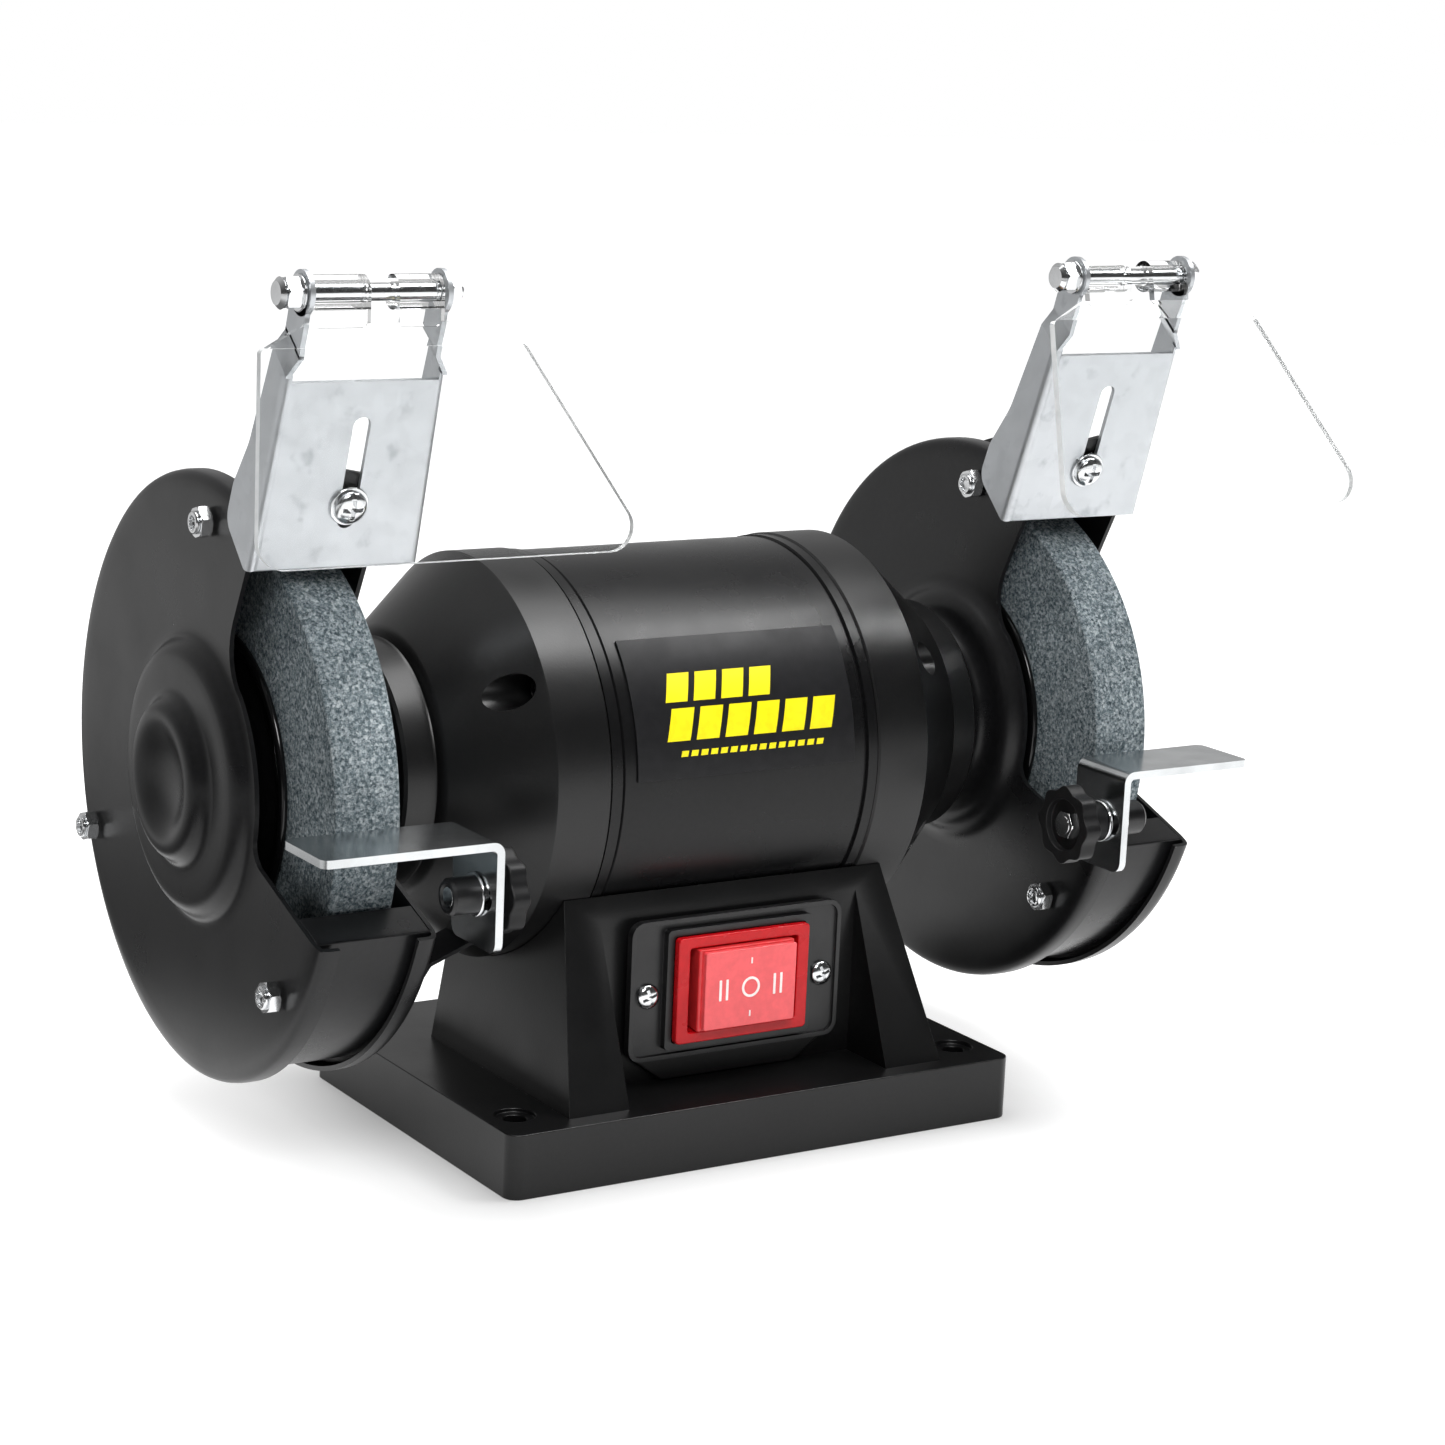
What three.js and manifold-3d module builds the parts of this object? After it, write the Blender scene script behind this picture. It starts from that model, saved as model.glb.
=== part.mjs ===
// A 150 mm bench grinder: an induction motor on a cast pedestal with a grinding wheel, a sheet
// steel guard, a sliding tool rest and a hinged clear eye shield at each end of its spindle.
// Millimetres. +X runs along the spindle, -Y is the operator's side and +Z is up. The origin is
// the middle of the underside that stands on the bench, straight below the spindle.
import * as THREE from "three";
import { mergeVertices } from "three/addons/utils/BufferGeometryUtils.js";
import Module from "manifold-3d";

const wasm = await Module();
wasm.setup();

// ---- Driving dimensions ----
const GAP = 0.3; // between pieces that touch
const SPINDLE_HEIGHT = 114;
const WHEEL_STEPS = 40; // segments round a wheel
const ROUND_STEPS = 24; // on a large round part
const MEDIUM_STEPS = 16; // on a flange or a bearing
const SMALL_STEPS = 10; // on a bolt or a pin

const WHEEL = { radius: 75, width: 20, centre: 134.2, bore: 6.6 };
const GUARD = { radius: 90.5, y: -3, z: 1, inner: 117.4, outer: 155.5, sheet: 1.5, bandRadius: 87 };
const GUARD_OPENING = { from: 63, to: -20 }; // degrees above the horizontal, at the front
const DOME_RADIUS = 43.5;
const GUARD_LEDGE = 73.8; // the band's lower end is folded inwards to this radius
const GUARD_BOLT = { angles: [83, 203, 320], circles: [78, 81, 78], radius: 1.9, head: 5.3 };
const MOTOR = { radius: 61.8, wall: 2.6, half: 43.5, bead: 62.3, beadHalf: 47.7 };
const BELL = { radius: 62.8, start: 48, shoulder: 67, coneEnd: 92.5, coneRadius: 40.7, hub: 38, end: 107.1 };
const BEARING = { outer: 17.5, inner: 7.5, width: 11, centre: 97 };
const SHAFT = { rotor: 8.5, seat: 7.3, wheel: 6.3, end: 159 };
const CORE = { half: 28, bore: 32.3, rotor: 31.6 };
const MOTOR_BOLT = { circle: 55.5, angle: 32, radius: 2, pocket: 5.2, floor: 64 };
const BASE = { halfX: 90.6, front: -84.3, back: 46.3, height: 20, wall: 3.5, corner: 4 };
const PEDESTAL = { top: -39, halfTop: 58.2, halfFoot: 67.4, bay: -55.5, side: 11, rear: 36, rearHalf: 48 };
const LEG = { inner: 46.6, topY: -54.5, footY: -77.5 };
const SWITCH = { y: -60, z: -64, halfX: 38, halfZ: 22, bezelX: 23.7, bezelZ: 16.7 };
const SWITCH_SCREW = { x: 31.5, z: -65.5, radius: 1.4 };
const WINDOW = { halfX: 19.5, halfZ: 13.3 };
const ROCKER = { halfX: 17.3, halfZ: 12.9, front: -68.5, pivot: -57 };
const REST = { top: 0.8, sheet: 2.4, drop: 32.6, travel: 6 };
const REST_SIDE = {
  left: { inner: 106.7, outer: 162.3, front: -104.3, back: -78.3 },
  right: { inner: 113.6, outer: 163.6, front: -103, back: -79 },
};
const KNOB = { y: -92.5, z: -16.8, radius: 12.5, disc: 5.6, lobes: 8, collar: 6.2, stud: 3, nut: 5.4 };
const BRACKET = { half: 24.6, flare: 2.2, sheet: 1.5, height: 58, depth: 10.4 };
const BRACKET_EAR = { half: 21.6, from: 60, to: 65, rise: 4.4 }; // stepped in between these heights
const BRACKET_SIDE = { left: { centre: 132, raise: 0 }, right: { centre: 130.8, raise: 2.2 } };
const BRACKET_FOOT = { y: -45, z: 69, lean: 18 }; // its web leans forward by so many degrees
const SLOT = { x: 131, low: 15.5, high: 44.5, radius: 2.7, screw: 20 };
const PIVOT = { up: 82.57, back: 4.75, radius: 2.6, ear: 6.4, head: 4.9 }; // along and square to the web
const SHIELD = { left: -37, right: 87.5, topRight: 43.5, top: 14, bottom: 74.4, front: 6, sheet: 2.5 };
const KNUCKLE = { radius: 4.9, left: [-19.7, -2.8], right: [5.9, 19.7] };
const SHIELD_TILT = { left: 0, right: 12 }; // degrees that each shield's lower edge hangs forward

const BASE_TOP = BASE.height - SPINDLE_HEIGHT; // heights below are above the spindle
const radians = THREE.MathUtils.degToRad;

// ---- Colours and finishes ----
const finish = (color, roughness, metalness, extra = {}) =>
  new THREE.MeshStandardMaterial({ color, roughness, metalness, ...extra });
const BLACK_PAINT = finish(0x1b1b1d, 0.38, 0.2);
const BLACK_CAST = finish(0x161617, 0.62, 0.1);
const BLACK_SHEET = finish(0x2a2a2c, 0.32, 0.3);
const BLACK_PLASTIC = finish(0x202022, 0.45, 0);
const ZINC = finish(0xc8cdd1, 0.32, 0.9);
const BRIGHT_STEEL = finish(0xd8dadd, 0.2, 1);
const LAMINATION = finish(0x8a8f94, 0.5, 0.8);
const COPPER = finish(0xb4673a, 0.4, 0.8);
const GRIT = finish(0x66767c, 0.95, 0);
const CLEAR = finish(0xf2f6f7, 0.05, 0, { transparent: true, opacity: 0.25 });
const SWITCH_RED = finish(0xd8202a, 0.35, 0);
const LABEL = finish(0x2b2c2f, 0.5, 0);

// ---- Solid modelling ----
const UP = new THREE.Vector3(0, 0, 1);
const ALONG = new THREE.Vector3(1, 0, 0);
const BACK = new THREE.Vector3(0, 1, 0);
const YZ_TO_X = new THREE.Matrix4().makeBasis(BACK, UP, ALONG); // a shape drawn in y, z
const XZ_TO_BACK = new THREE.Matrix4().makeBasis(ALONG, UP, BACK.clone().negate()); // drawn in x, z

function toSolid(geometry) {
  const bare = geometry.clone();
  bare.deleteAttribute("normal");
  bare.deleteAttribute("uv");
  const merged = mergeVertices(bare, 1e-4);
  const triVerts = new Uint32Array(merged.index.array);
  const vertProperties = merged.attributes.position.array;
  return new wasm.Manifold(new wasm.Mesh({ numProp: 3, vertProperties, triVerts }));
}

function toGeometry(solid) {
  const { numProp, numVert, vertProperties, triVerts } = solid.getMesh();
  const positions = new Float32Array(numVert * 3);
  for (let i = 0; i < numVert; i++) {
    positions.set(vertProperties.subarray(i * numProp, i * numProp + 3), i * 3);
  }
  const geometry = new THREE.BufferGeometry();
  geometry.setAttribute("position", new THREE.BufferAttribute(positions, 3));
  geometry.setIndex(new THREE.BufferAttribute(triVerts, 1));
  geometry.computeVertexNormals();
  return geometry;
}

const join = (first, ...rest) => toGeometry(rest.reduce((s, g) => s.add(toSolid(g)), toSolid(first)));
const cut = (body, ...tools) => toGeometry(tools.reduce((s, g) => s.subtract(toSolid(g)), toSolid(body)));
const overlap = (a, b) => toGeometry(toSolid(a).intersect(toSolid(b)));

function box(x0, x1, y0, y1, z0, z1) {
  const geometry = new THREE.BoxGeometry(x1 - x0, y1 - y0, z1 - z0);
  return geometry.translate((x0 + x1) / 2, (y0 + y1) / 2, (z0 + z1) / 2);
}

// A ring or disc about the X axis from a closed profile of [radius, x] points.
function turned(profile, steps = ROUND_STEPS) {
  const area = profile.reduce((sum, [r, x], i) => {
    const [nextR, nextX] = profile[(i + 1) % profile.length];
    return sum + r * nextX - nextR * x;
  }, 0);
  const ordered = area > 0 ? profile : [...profile].reverse();
  const points = [...ordered, ordered[0]].map(([r, x]) => new THREE.Vector2(r, x));
  return new THREE.LatheGeometry(points, steps).rotateZ(-Math.PI / 2);
}

// A cylinder along X between x0 and x1, centred at y, z.
function rod(radius, x0, x1, y = 0, z = 0, steps = SMALL_STEPS) {
  const geometry = new THREE.CylinderGeometry(radius, radius, x1 - x0, steps).rotateZ(Math.PI / 2);
  return geometry.translate((x0 + x1) / 2, y, z);
}

// A cylinder along the Y axis between y0 and y1, centred at x, z.
function rodBack(radius, y0, y1, x, z, steps = SMALL_STEPS) {
  return new THREE.CylinderGeometry(radius, radius, y1 - y0, steps).translate(x, (y0 + y1) / 2, z);
}

const polygon = (points) => new THREE.Shape(points.map(([u, v]) => new THREE.Vector2(u, v)));

function extrude(shape, depth, curveSegments = 12) {
  return new THREE.ExtrudeGeometry(shape, { depth, bevelEnabled: false, curveSegments });
}

const alongX = (shape, x0, x1, steps) =>
  extrude(shape, x1 - x0, steps).applyMatrix4(YZ_TO_X).translate(x0, 0, 0);
const alongY = (shape, y0, y1, steps) =>
  extrude(shape, y1 - y0, steps).applyMatrix4(XZ_TO_BACK).translate(0, y1, 0);
const alongZ = (shape, z0, z1, steps) => extrude(shape, z1 - z0, steps).translate(0, 0, z0);

function roundedRectangle(halfU, halfV, corner, u = 0, v = 0) {
  const shape = new THREE.Shape();
  const turns = [
    [1, -1, -90],
    [1, 1, 0],
    [-1, 1, 90],
    [-1, -1, 180],
  ];
  for (const [su, sv, start] of turns) {
    const cu = u + su * (halfU - corner);
    const cv = v + sv * (halfV - corner);
    shape.absarc(cu, cv, corner, radians(start), radians(start + 90), false);
  }
  return shape;
}

// An outline round two points, such as a slot or a strap with round ends.
function stadium([u0, v0], [u1, v1], radius) {
  const angle = Math.atan2(v1 - v0, u1 - u0);
  const shape = new THREE.Shape();
  shape.absarc(u1, v1, radius, angle - Math.PI / 2, angle + Math.PI / 2, false);
  shape.absarc(u0, v0, radius, angle + Math.PI / 2, angle + 1.5 * Math.PI, false);
  return shape;
}

// ---- Scene graph ----
const grinder = new THREE.Group();
const machine = new THREE.Group(); // everything is placed from the middle of the spindle
machine.position.z = SPINDLE_HEIGHT;
grinder.add(machine);
const sides = { left: new THREE.Group(), right: new THREE.Group() };
sides.left.scale.x = -1; // the left end is the mirror image of the right
machine.add(sides.left, sides.right);

function add(parent, name, geometry, material) {
  const mesh = new THREE.Mesh(geometry, material.clone());
  mesh.name = name;
  parent.add(mesh);
  return mesh;
}

// A point of the guard at a radius and an angle above the horizontal, seen from the front.
const guardPoint = (radius, degrees) => [
  GUARD.y - radius * Math.cos(radians(degrees)),
  GUARD.z + radius * Math.sin(radians(degrees)),
];
const guardBoltPoints = GUARD_BOLT.angles.map((angle, i) => guardPoint(GUARD_BOLT.circles[i], angle));
const straps = { bolt: guardBoltPoints[2], knob: [KNOB.y, KNOB.z] };

// ---- Base ----
function pedestalBody() {
  const { top, halfTop, halfFoot, bay, side, rear, rearHalf } = PEDESTAL;
  const sideSlope = (halfFoot - halfTop) / (top - BASE_TOP);
  const roof = top + 6; // the cradle is cut from a slightly taller block
  const halfRoof = halfTop - (roof - top) * sideSlope;
  const flank = polygon([
    [-halfFoot, BASE_TOP - 1],
    [halfFoot, BASE_TOP - 1],
    [halfRoof, roof],
    [-halfRoof, roof],
  ]);
  const legSlope = (LEG.topY - LEG.footY) / (top - BASE_TOP);
  const legs = polygon([
    [LEG.footY - legSlope, BASE_TOP - 1],
    [side, BASE_TOP - 1],
    [side, top],
    [LEG.topY, top],
  ]);
  const block = overlap(alongX(legs, -halfFoot, halfFoot), alongY(flank, -100, 100));
  const bayCut = box(-LEG.inner, LEG.inner, -100, bay, BASE_TOP, top + 1);
  const rearBlock = box(-rearHalf, rearHalf, side - 1, rear, BASE_TOP - 1, top);
  return join(cut(block, bayCut), rearBlock);
}

const switchScrewHoles = () =>
  [-SWITCH_SCREW.x, SWITCH_SCREW.x].map((x) =>
    rodBack(SWITCH_SCREW.radius + GAP, -70, -50, x, SWITCH_SCREW.z),
  );

function makeBase() {
  const { halfX, front, back, wall, corner } = BASE;
  const middle = (front + back) / 2;
  const halfY = (back - front) / 2;
  const bottom = -SPINDLE_HEIGHT;
  const plate = alongZ(roundedRectangle(halfX, halfY, corner, 0, middle), bottom, BASE_TOP, 4);
  const chin = alongY(
    polygon([
      [-24, -93.7],
      [24, -93.7],
      [35, -86],
      [35, -60],
      [-35, -60],
      [-35, -86],
    ]),
    SWITCH.y + 1.5,
    PEDESTAL.bay + 1,
  );
  const body = join(plate, pedestalBody(), chin);
  const hollow = alongZ(
    roundedRectangle(halfX - wall, halfY - wall, corner - 1, 0, middle),
    bottom - 1,
    BASE_TOP - wall,
    4,
  );
  const room = box(-50, 50, PEDESTAL.bay + wall, PEDESTAL.rear - wall, BASE_TOP - wall - 1, -67);
  const switchHole = box(-22, 22, -70, -41, SWITCH.z - 15.3, SWITCH.z + 15.3);
  const cradle = rod(MOTOR.bead + GAP + 0.4, -BELL.start, BELL.start, 0, 0, ROUND_STEPS);
  const seat = BELL.radius + GAP + 0.4;
  const seatLength = 80 - BELL.start;
  const seatStarts = [BELL.start, -BELL.start - seatLength];
  const bellSeats = seatStarts.map((from) => rod(seat, from, from + seatLength, 0, 0, ROUND_STEPS));
  const glandHole = rodBack(8.2, 20, 50, 28, -80);
  const mountingHoles = [];
  for (const x of [-80, 80]) {
    for (const y of [-67, 30]) {
      const drill = new THREE.CylinderGeometry(3.5, 3.5, 40, SMALL_STEPS).rotateX(Math.PI / 2);
      mountingHoles.push(drill.translate(x, y, BASE_TOP));
    }
  }
  const holes = [switchHole, glandHole, ...mountingHoles, ...switchScrewHoles()];
  return cut(body, hollow, room, cradle, ...bellSeats, ...holes);
}

function makeBottomCover() {
  const { halfX, front, back, wall, corner } = BASE;
  const inset = wall + GAP;
  const halfY = (back - front) / 2;
  const shape = roundedRectangle(halfX - inset, halfY - inset, corner - 1, 0, front + halfY);
  return alongZ(shape, -SPINDLE_HEIGHT, -SPINDLE_HEIGHT + 1.5, 4);
}

function makeGland() {
  const profile = [
    [3.6, 0],
    [11, 0],
    [11, 5],
    [8, 7],
    [6.5, 16],
    [3.6, 16],
  ];
  const shank = [
    [3.6, -9],
    [7.8, -9],
    [7.8, 1],
    [3.6, 1],
  ];
  return join(turned(profile, SMALL_STEPS), turned(shank, SMALL_STEPS)).rotateZ(Math.PI / 2);
}

// ---- Motor ----
const motorBoltAngles = [1, -1].flatMap((s) => [s * MOTOR_BOLT.angle, 180 + s * MOTOR_BOLT.angle]);
const motorBoltPoints = motorBoltAngles.map((angle) => [
  -MOTOR_BOLT.circle * Math.cos(radians(angle)),
  MOTOR_BOLT.circle * Math.sin(radians(angle)),
]);

function makeMotorHousing() {
  const { radius, wall, half, bead, beadHalf } = MOTOR;
  const bore = radius - wall;
  return turned([
    [bore, -beadHalf],
    [bead, -beadHalf],
    [bead, -half],
    [radius, -half],
    [radius, half],
    [bead, half],
    [bead, beadHalf],
    [bore, beadHalf],
  ]);
}

function makeStatorCore() {
  const outer = MOTOR.radius - MOTOR.wall - GAP;
  const ring = turned([
    [CORE.bore, -CORE.half],
    [outer, -CORE.half],
    [outer, CORE.half],
    [CORE.bore, CORE.half],
  ]);
  const holes = motorBoltPoints.map(([y, z]) => rod(MOTOR_BOLT.radius + 0.4, -40, 40, y, z, 8));
  return cut(ring, ...holes);
}

function makeWinding() {
  const near = CORE.half + GAP;
  return turned(
    [
      [36, near],
      [50, near],
      [51.5, near + 5],
      [48, near + 13],
      [39, near + 13],
      [35.5, near + 5],
    ],
    MEDIUM_STEPS,
  );
}

function makeEndBell() {
  const { radius, start, shoulder, coneEnd, coneRadius, hub, end } = BELL;
  const wall = 3;
  const seat = BEARING.outer + 0.15;
  const seatFrom = BEARING.centre - BEARING.width / 2 - 1;
  const seatTo = BEARING.centre + BEARING.width / 2 + 0.2;
  const shell = turned([
    [radius - wall, start],
    [radius, start],
    [radius, shoulder],
    [coneRadius, coneEnd],
    [hub, coneEnd + 1],
    [hub, 104],
    [28, 104.5],
    [28, end],
    [10, end],
    [10, seatTo],
    [seat, seatTo],
    [seat, seatFrom],
    [coneRadius - wall - 3, seatFrom],
    [radius - wall, shoulder - 1],
  ]);
  const envelope = turned([
    [0, start],
    [radius, start],
    [radius, shoulder],
    [coneRadius, coneEnd],
    [0, coneEnd],
  ]);
  let bell = shell;
  for (const [y, z] of motorBoltPoints) {
    bell = join(bell, overlap(rod(7.2, 52, 90, y, z, 8), envelope));
  }
  const pockets = motorBoltPoints.map(([y, z]) => rod(MOTOR_BOLT.pocket, MOTOR_BOLT.floor, 95, y, z));
  const holes = motorBoltPoints.map(([y, z]) => rod(MOTOR_BOLT.radius + GAP, 40, 95, y, z, 8));
  return cut(bell, ...pockets, ...holes);
}

function makeBearing() {
  const { outer, inner, width, centre } = BEARING;
  const from = centre - width / 2;
  const to = centre + width / 2;
  return turned(
    [
      [inner, from],
      [outer, from],
      [outer, to],
      [inner, to],
    ],
    MEDIUM_STEPS,
  );
}

function makeMotorBolt([y, z]) {
  const floor = MOTOR_BOLT.floor + GAP;
  const head = rod(3.9, -floor - 3.2, -floor, y, z, 6);
  const shank = rod(MOTOR_BOLT.radius, -floor - 0.5, floor + 1, y, z, 10);
  const nut = rod(3.9, floor, floor + 3.2, y, z, 6);
  return join(head, shank, nut);
}

function makeLabel() {
  const inner = MOTOR.radius + GAP;
  const outer = inner + 0.6;
  const from = Math.PI - radians(42.5);
  const to = Math.PI - radians(2);
  const shape = new THREE.Shape();
  shape.absarc(0, 0, outer, from, to, false);
  shape.absarc(0, 0, inner, to, from, true);
  return alongX(shape, -39, 39, 10);
}

// ---- Spindle ----
function makeShaft() {
  const { rotor, seat, wheel, end } = SHAFT;
  const shoulder = BEARING.centre - BEARING.width / 2 - 1;
  const step = 119.5;
  const half = [
    [rotor, shoulder],
    [seat, shoulder],
    [seat, step],
    [wheel, step],
    [wheel, end],
  ];
  const mirrored = half.map(([r, x]) => [r, -x]).reverse();
  return turned([[0, -end], ...mirrored, ...half, [0, end]], SMALL_STEPS);
}

function makeRotorCore() {
  const { half, rotor } = CORE;
  return turned([
    [SHAFT.rotor + GAP, -half],
    [rotor, -half],
    [rotor, half],
    [SHAFT.rotor + GAP, half],
  ]);
}

function makeWheel() {
  const from = WHEEL.centre - WHEEL.width / 2;
  const to = WHEEL.centre + WHEEL.width / 2;
  return turned(
    [
      [WHEEL.bore, from],
      [WHEEL.radius, from],
      [WHEEL.radius, to],
      [WHEEL.bore, to],
    ],
    WHEEL_STEPS,
  );
}

// A dished clamping flange: it bears on the wheel at its rim.
function makeFlange(face, direction) {
  const at = (offset) => face + direction * offset;
  return turned(
    [
      [SHAFT.wheel + GAP, at(1.2)],
      [30, at(1.2)],
      [32, at(GAP)],
      [45, at(GAP)],
      [45, at(2.2)],
      [30, at(4)],
      [SHAFT.wheel + GAP, at(4)],
    ],
    MEDIUM_STEPS,
  );
}

function makeSpindleNut() {
  const from = WHEEL.centre + WHEEL.width / 2 + 4 + GAP;
  return cut(rod(10.5, from, from + 7, 0, 0, 6), rod(SHAFT.wheel + GAP, from - 1, from + 8));
}

// ---- Guards ----
function openingTool(inset) {
  const shape = new THREE.Shape();
  const start = Math.PI - radians(GUARD_OPENING.from);
  const end = Math.PI - radians(GUARD_OPENING.to);
  shape.absarc(GUARD.y, GUARD.z, 120, start, end, false);
  shape.absarc(GUARD.y, GUARD.z, inset, end, start, true);
  return alongX(shape, 90, 180, 16);
}

function guardPlate(profile) {
  const disc = turned(profile).translate(0, GUARD.y, GUARD.z);
  const holes = guardBoltPoints.map(([y, z]) => rod(GUARD_BOLT.radius + GAP, 90, 180, y, z, 8));
  return cut(disc, openingTool(DOME_RADIUS - 0.5), ...holes);
}

function makeOuterPlate() {
  const face = GUARD.outer;
  const back = face - GUARD.sheet;
  return guardPlate([
    [0, back + 8],
    [11.5, back + 8],
    [15.5, back + 11],
    [23.3, back + 10.6],
    [25.8, back + 6],
    [37, back + 5],
    [42.5, back],
    [GUARD.radius, back],
    [GUARD.radius, face],
    [DOME_RADIUS, face],
    [38, face + 5],
    [27, face + 6],
    [24.6, face + 10.6],
    [15, face + 11],
    [11, face + 8],
    [0, face + 8],
  ]);
}

function makeInnerPlate() {
  const face = GUARD.inner;
  const back = face + GUARD.sheet;
  return guardPlate([
    [14, back - 10],
    [27.5, back - 10],
    [30, back - 5.5],
    [37, back - 5],
    [42.5, back],
    [GUARD.radius, back],
    [GUARD.radius, face],
    [DOME_RADIUS, face],
    [38, face - 5],
    [31, face - 5.5],
    [28.7, face - 10],
    [14, face - 10],
  ]);
}

const lean = radians(BRACKET_FOOT.lean);
// A point of a bracket's side view: up its web from the lower edge, and back from its front face.
const bracketPoint = (up, back) => [
  BRACKET_FOOT.y + back * Math.cos(lean) - up * Math.sin(lean),
  BRACKET_FOOT.z + back * Math.sin(lean) + up * Math.cos(lean),
];

function makeBand() {
  const { bandRadius, sheet } = GUARD;
  const x0 = GUARD.inner + sheet + GAP;
  const x1 = GUARD.outer - sheet - GAP;
  const shape = new THREE.Shape();
  const start = Math.PI - radians(GUARD_OPENING.to);
  const end = 3 * Math.PI - radians(61.5);
  shape.absarc(GUARD.y, GUARD.z, bandRadius, start, end, false);
  shape.absarc(GUARD.y, GUARD.z, bandRadius - sheet, end, start, true);
  const ledge = polygon([
    guardPoint(GUARD_LEDGE, GUARD_OPENING.to),
    guardPoint(bandRadius - 0.1, GUARD_OPENING.to),
    guardPoint(bandRadius - 0.1, GUARD_OPENING.to - 1),
    guardPoint(GUARD_LEDGE, GUARD_OPENING.to - 1.15),
  ]);
  const front = BRACKET.sheet + GAP;
  const corners = [
    [7.5, front],
    [7.5, front + 2.5],
    [32, front + 2.5],
    [32, front],
  ];
  const tab = polygon(corners.map(([up, back]) => bracketPoint(up, back)));
  const tabX = [SLOT.x - 12, SLOT.x + 12];
  const ring = join(alongX(shape, x0, x1, ROUND_STEPS), alongX(ledge, x0, x1), alongX(tab, ...tabX));
  const strapNotch = box(x0 - 1, x0 + 2.8, -100, -60, -62, 0);
  return cut(ring, strapNotch, bracketHole(2.6));
}

// A hole along the bracket screw's axis, square to the web.
function bracketHole(radius) {
  const [y, z] = bracketPoint(SLOT.screw, 0);
  const geometry = new THREE.CylinderGeometry(radius, radius, 30, 10);
  return geometry.rotateX(lean).translate(SLOT.x, y, z);
}

function makeGuardBolt([y, z]) {
  const inside = GUARD.inner - GAP;
  const outside = GUARD.outer + GAP;
  const head = rod(GUARD_BOLT.head, outside, outside + 3.4, y, z, 6);
  const shank = rod(GUARD_BOLT.radius, inside - 7, outside + 4.6, y, z, 8);
  const nut = rod(GUARD_BOLT.head, inside - 6, inside - 2.8, y, z, 6);
  return join(shank, head, nut);
}

// ---- Shield brackets: drawn upright from the foot of the web, which is their front ----
function makeBracketArm(mirror) {
  const { half, flare, sheet, depth } = BRACKET;
  const { half: earHalf, from, to, rise } = BRACKET_EAR;
  const across = (x0, x1) => (mirror > 0 ? [x0, x1] : [-x1, -x0]);
  const flank = alongX(
    polygon([
      [0, 0],
      [3, 0],
      [18.2, 7.6],
      [18, 19.4],
      [13.4, 34],
      [depth, from + rise],
      [0, from],
    ]),
    ...across(half - sheet, half),
  );
  const spread = (mirror * flare) / from; // the flanks stand further apart towards their feet
  const lean = new THREE.Matrix4();
  lean.set(1, 0, -spread, mirror * flare, 0, 1, 0, 0, 0, 0, 1, 0, 0, 0, 0, 1);
  flank.applyMatrix4(lean);
  const step = alongY(
    polygon([
      [mirror * (half - sheet), from - 0.1],
      [mirror * half, from - 0.1],
      [mirror * earHalf, to + 0.1],
      [mirror * (earHalf - sheet), to + 0.1],
    ]),
    0,
    depth,
  );
  step.applyMatrix4(new THREE.Matrix4().set(1, 0, 0, 0, 0, 1, 0, 0, 0, rise / depth, 1, 0, 0, 0, 0, 1));
  const neck = polygon([
    [0, to],
    [depth, to + rise],
    [depth, PIVOT.up - 1],
    [0, PIVOT.up - 1],
  ]);
  const [x0, x1] = across(earHalf - sheet, earHalf);
  const ring = rod(PIVOT.ear, x0, x1, PIVOT.back, PIVOT.up, MEDIUM_STEPS);
  return join(flank, step, alongX(neck, x0, x1), ring);
}

function makeBracket({ centre }) {
  const { half, flare, sheet, height } = BRACKET;
  const web = polygon([
    [-half - flare, 0],
    [half + flare, 0],
    [half, height],
    [-half, height],
  ]);
  const ends = [SLOT.low, SLOT.high].map((up) => [SLOT.x - centre, up]);
  const slot = alongY(stadium(...ends, SLOT.radius), -5, 5, 6);
  const bore = rod(PIVOT.radius + GAP, -40, 40, PIVOT.back, PIVOT.up);
  return cut(join(alongY(web, 0, sheet), makeBracketArm(-1), makeBracketArm(1)), slot, bore);
}

function makeBracketScrew() {
  const head = new THREE.CylinderGeometry(5, 4.2, 3.2, SMALL_STEPS).translate(0, -1.6 - GAP, 0);
  const shank = new THREE.CylinderGeometry(2.2, 2.2, 12, 12).translate(0, 5.5, 0);
  const nut = new THREE.CylinderGeometry(4.4, 4.4, 3, 6).translate(0, BRACKET.sheet + 2.5 + 2 * GAP + 1.6, 0);
  return join(head, shank, nut);
}

function makePivotBolt() {
  const x = BRACKET_EAR.half + GAP;
  const shank = rod(PIVOT.radius, -x - 1, x + 4.6);
  return join(shank, rod(PIVOT.head, -x - 7, -x, 0, 0, 6), rod(PIVOT.head, x, x + 3.4, 0, 0, 6));
}

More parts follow.
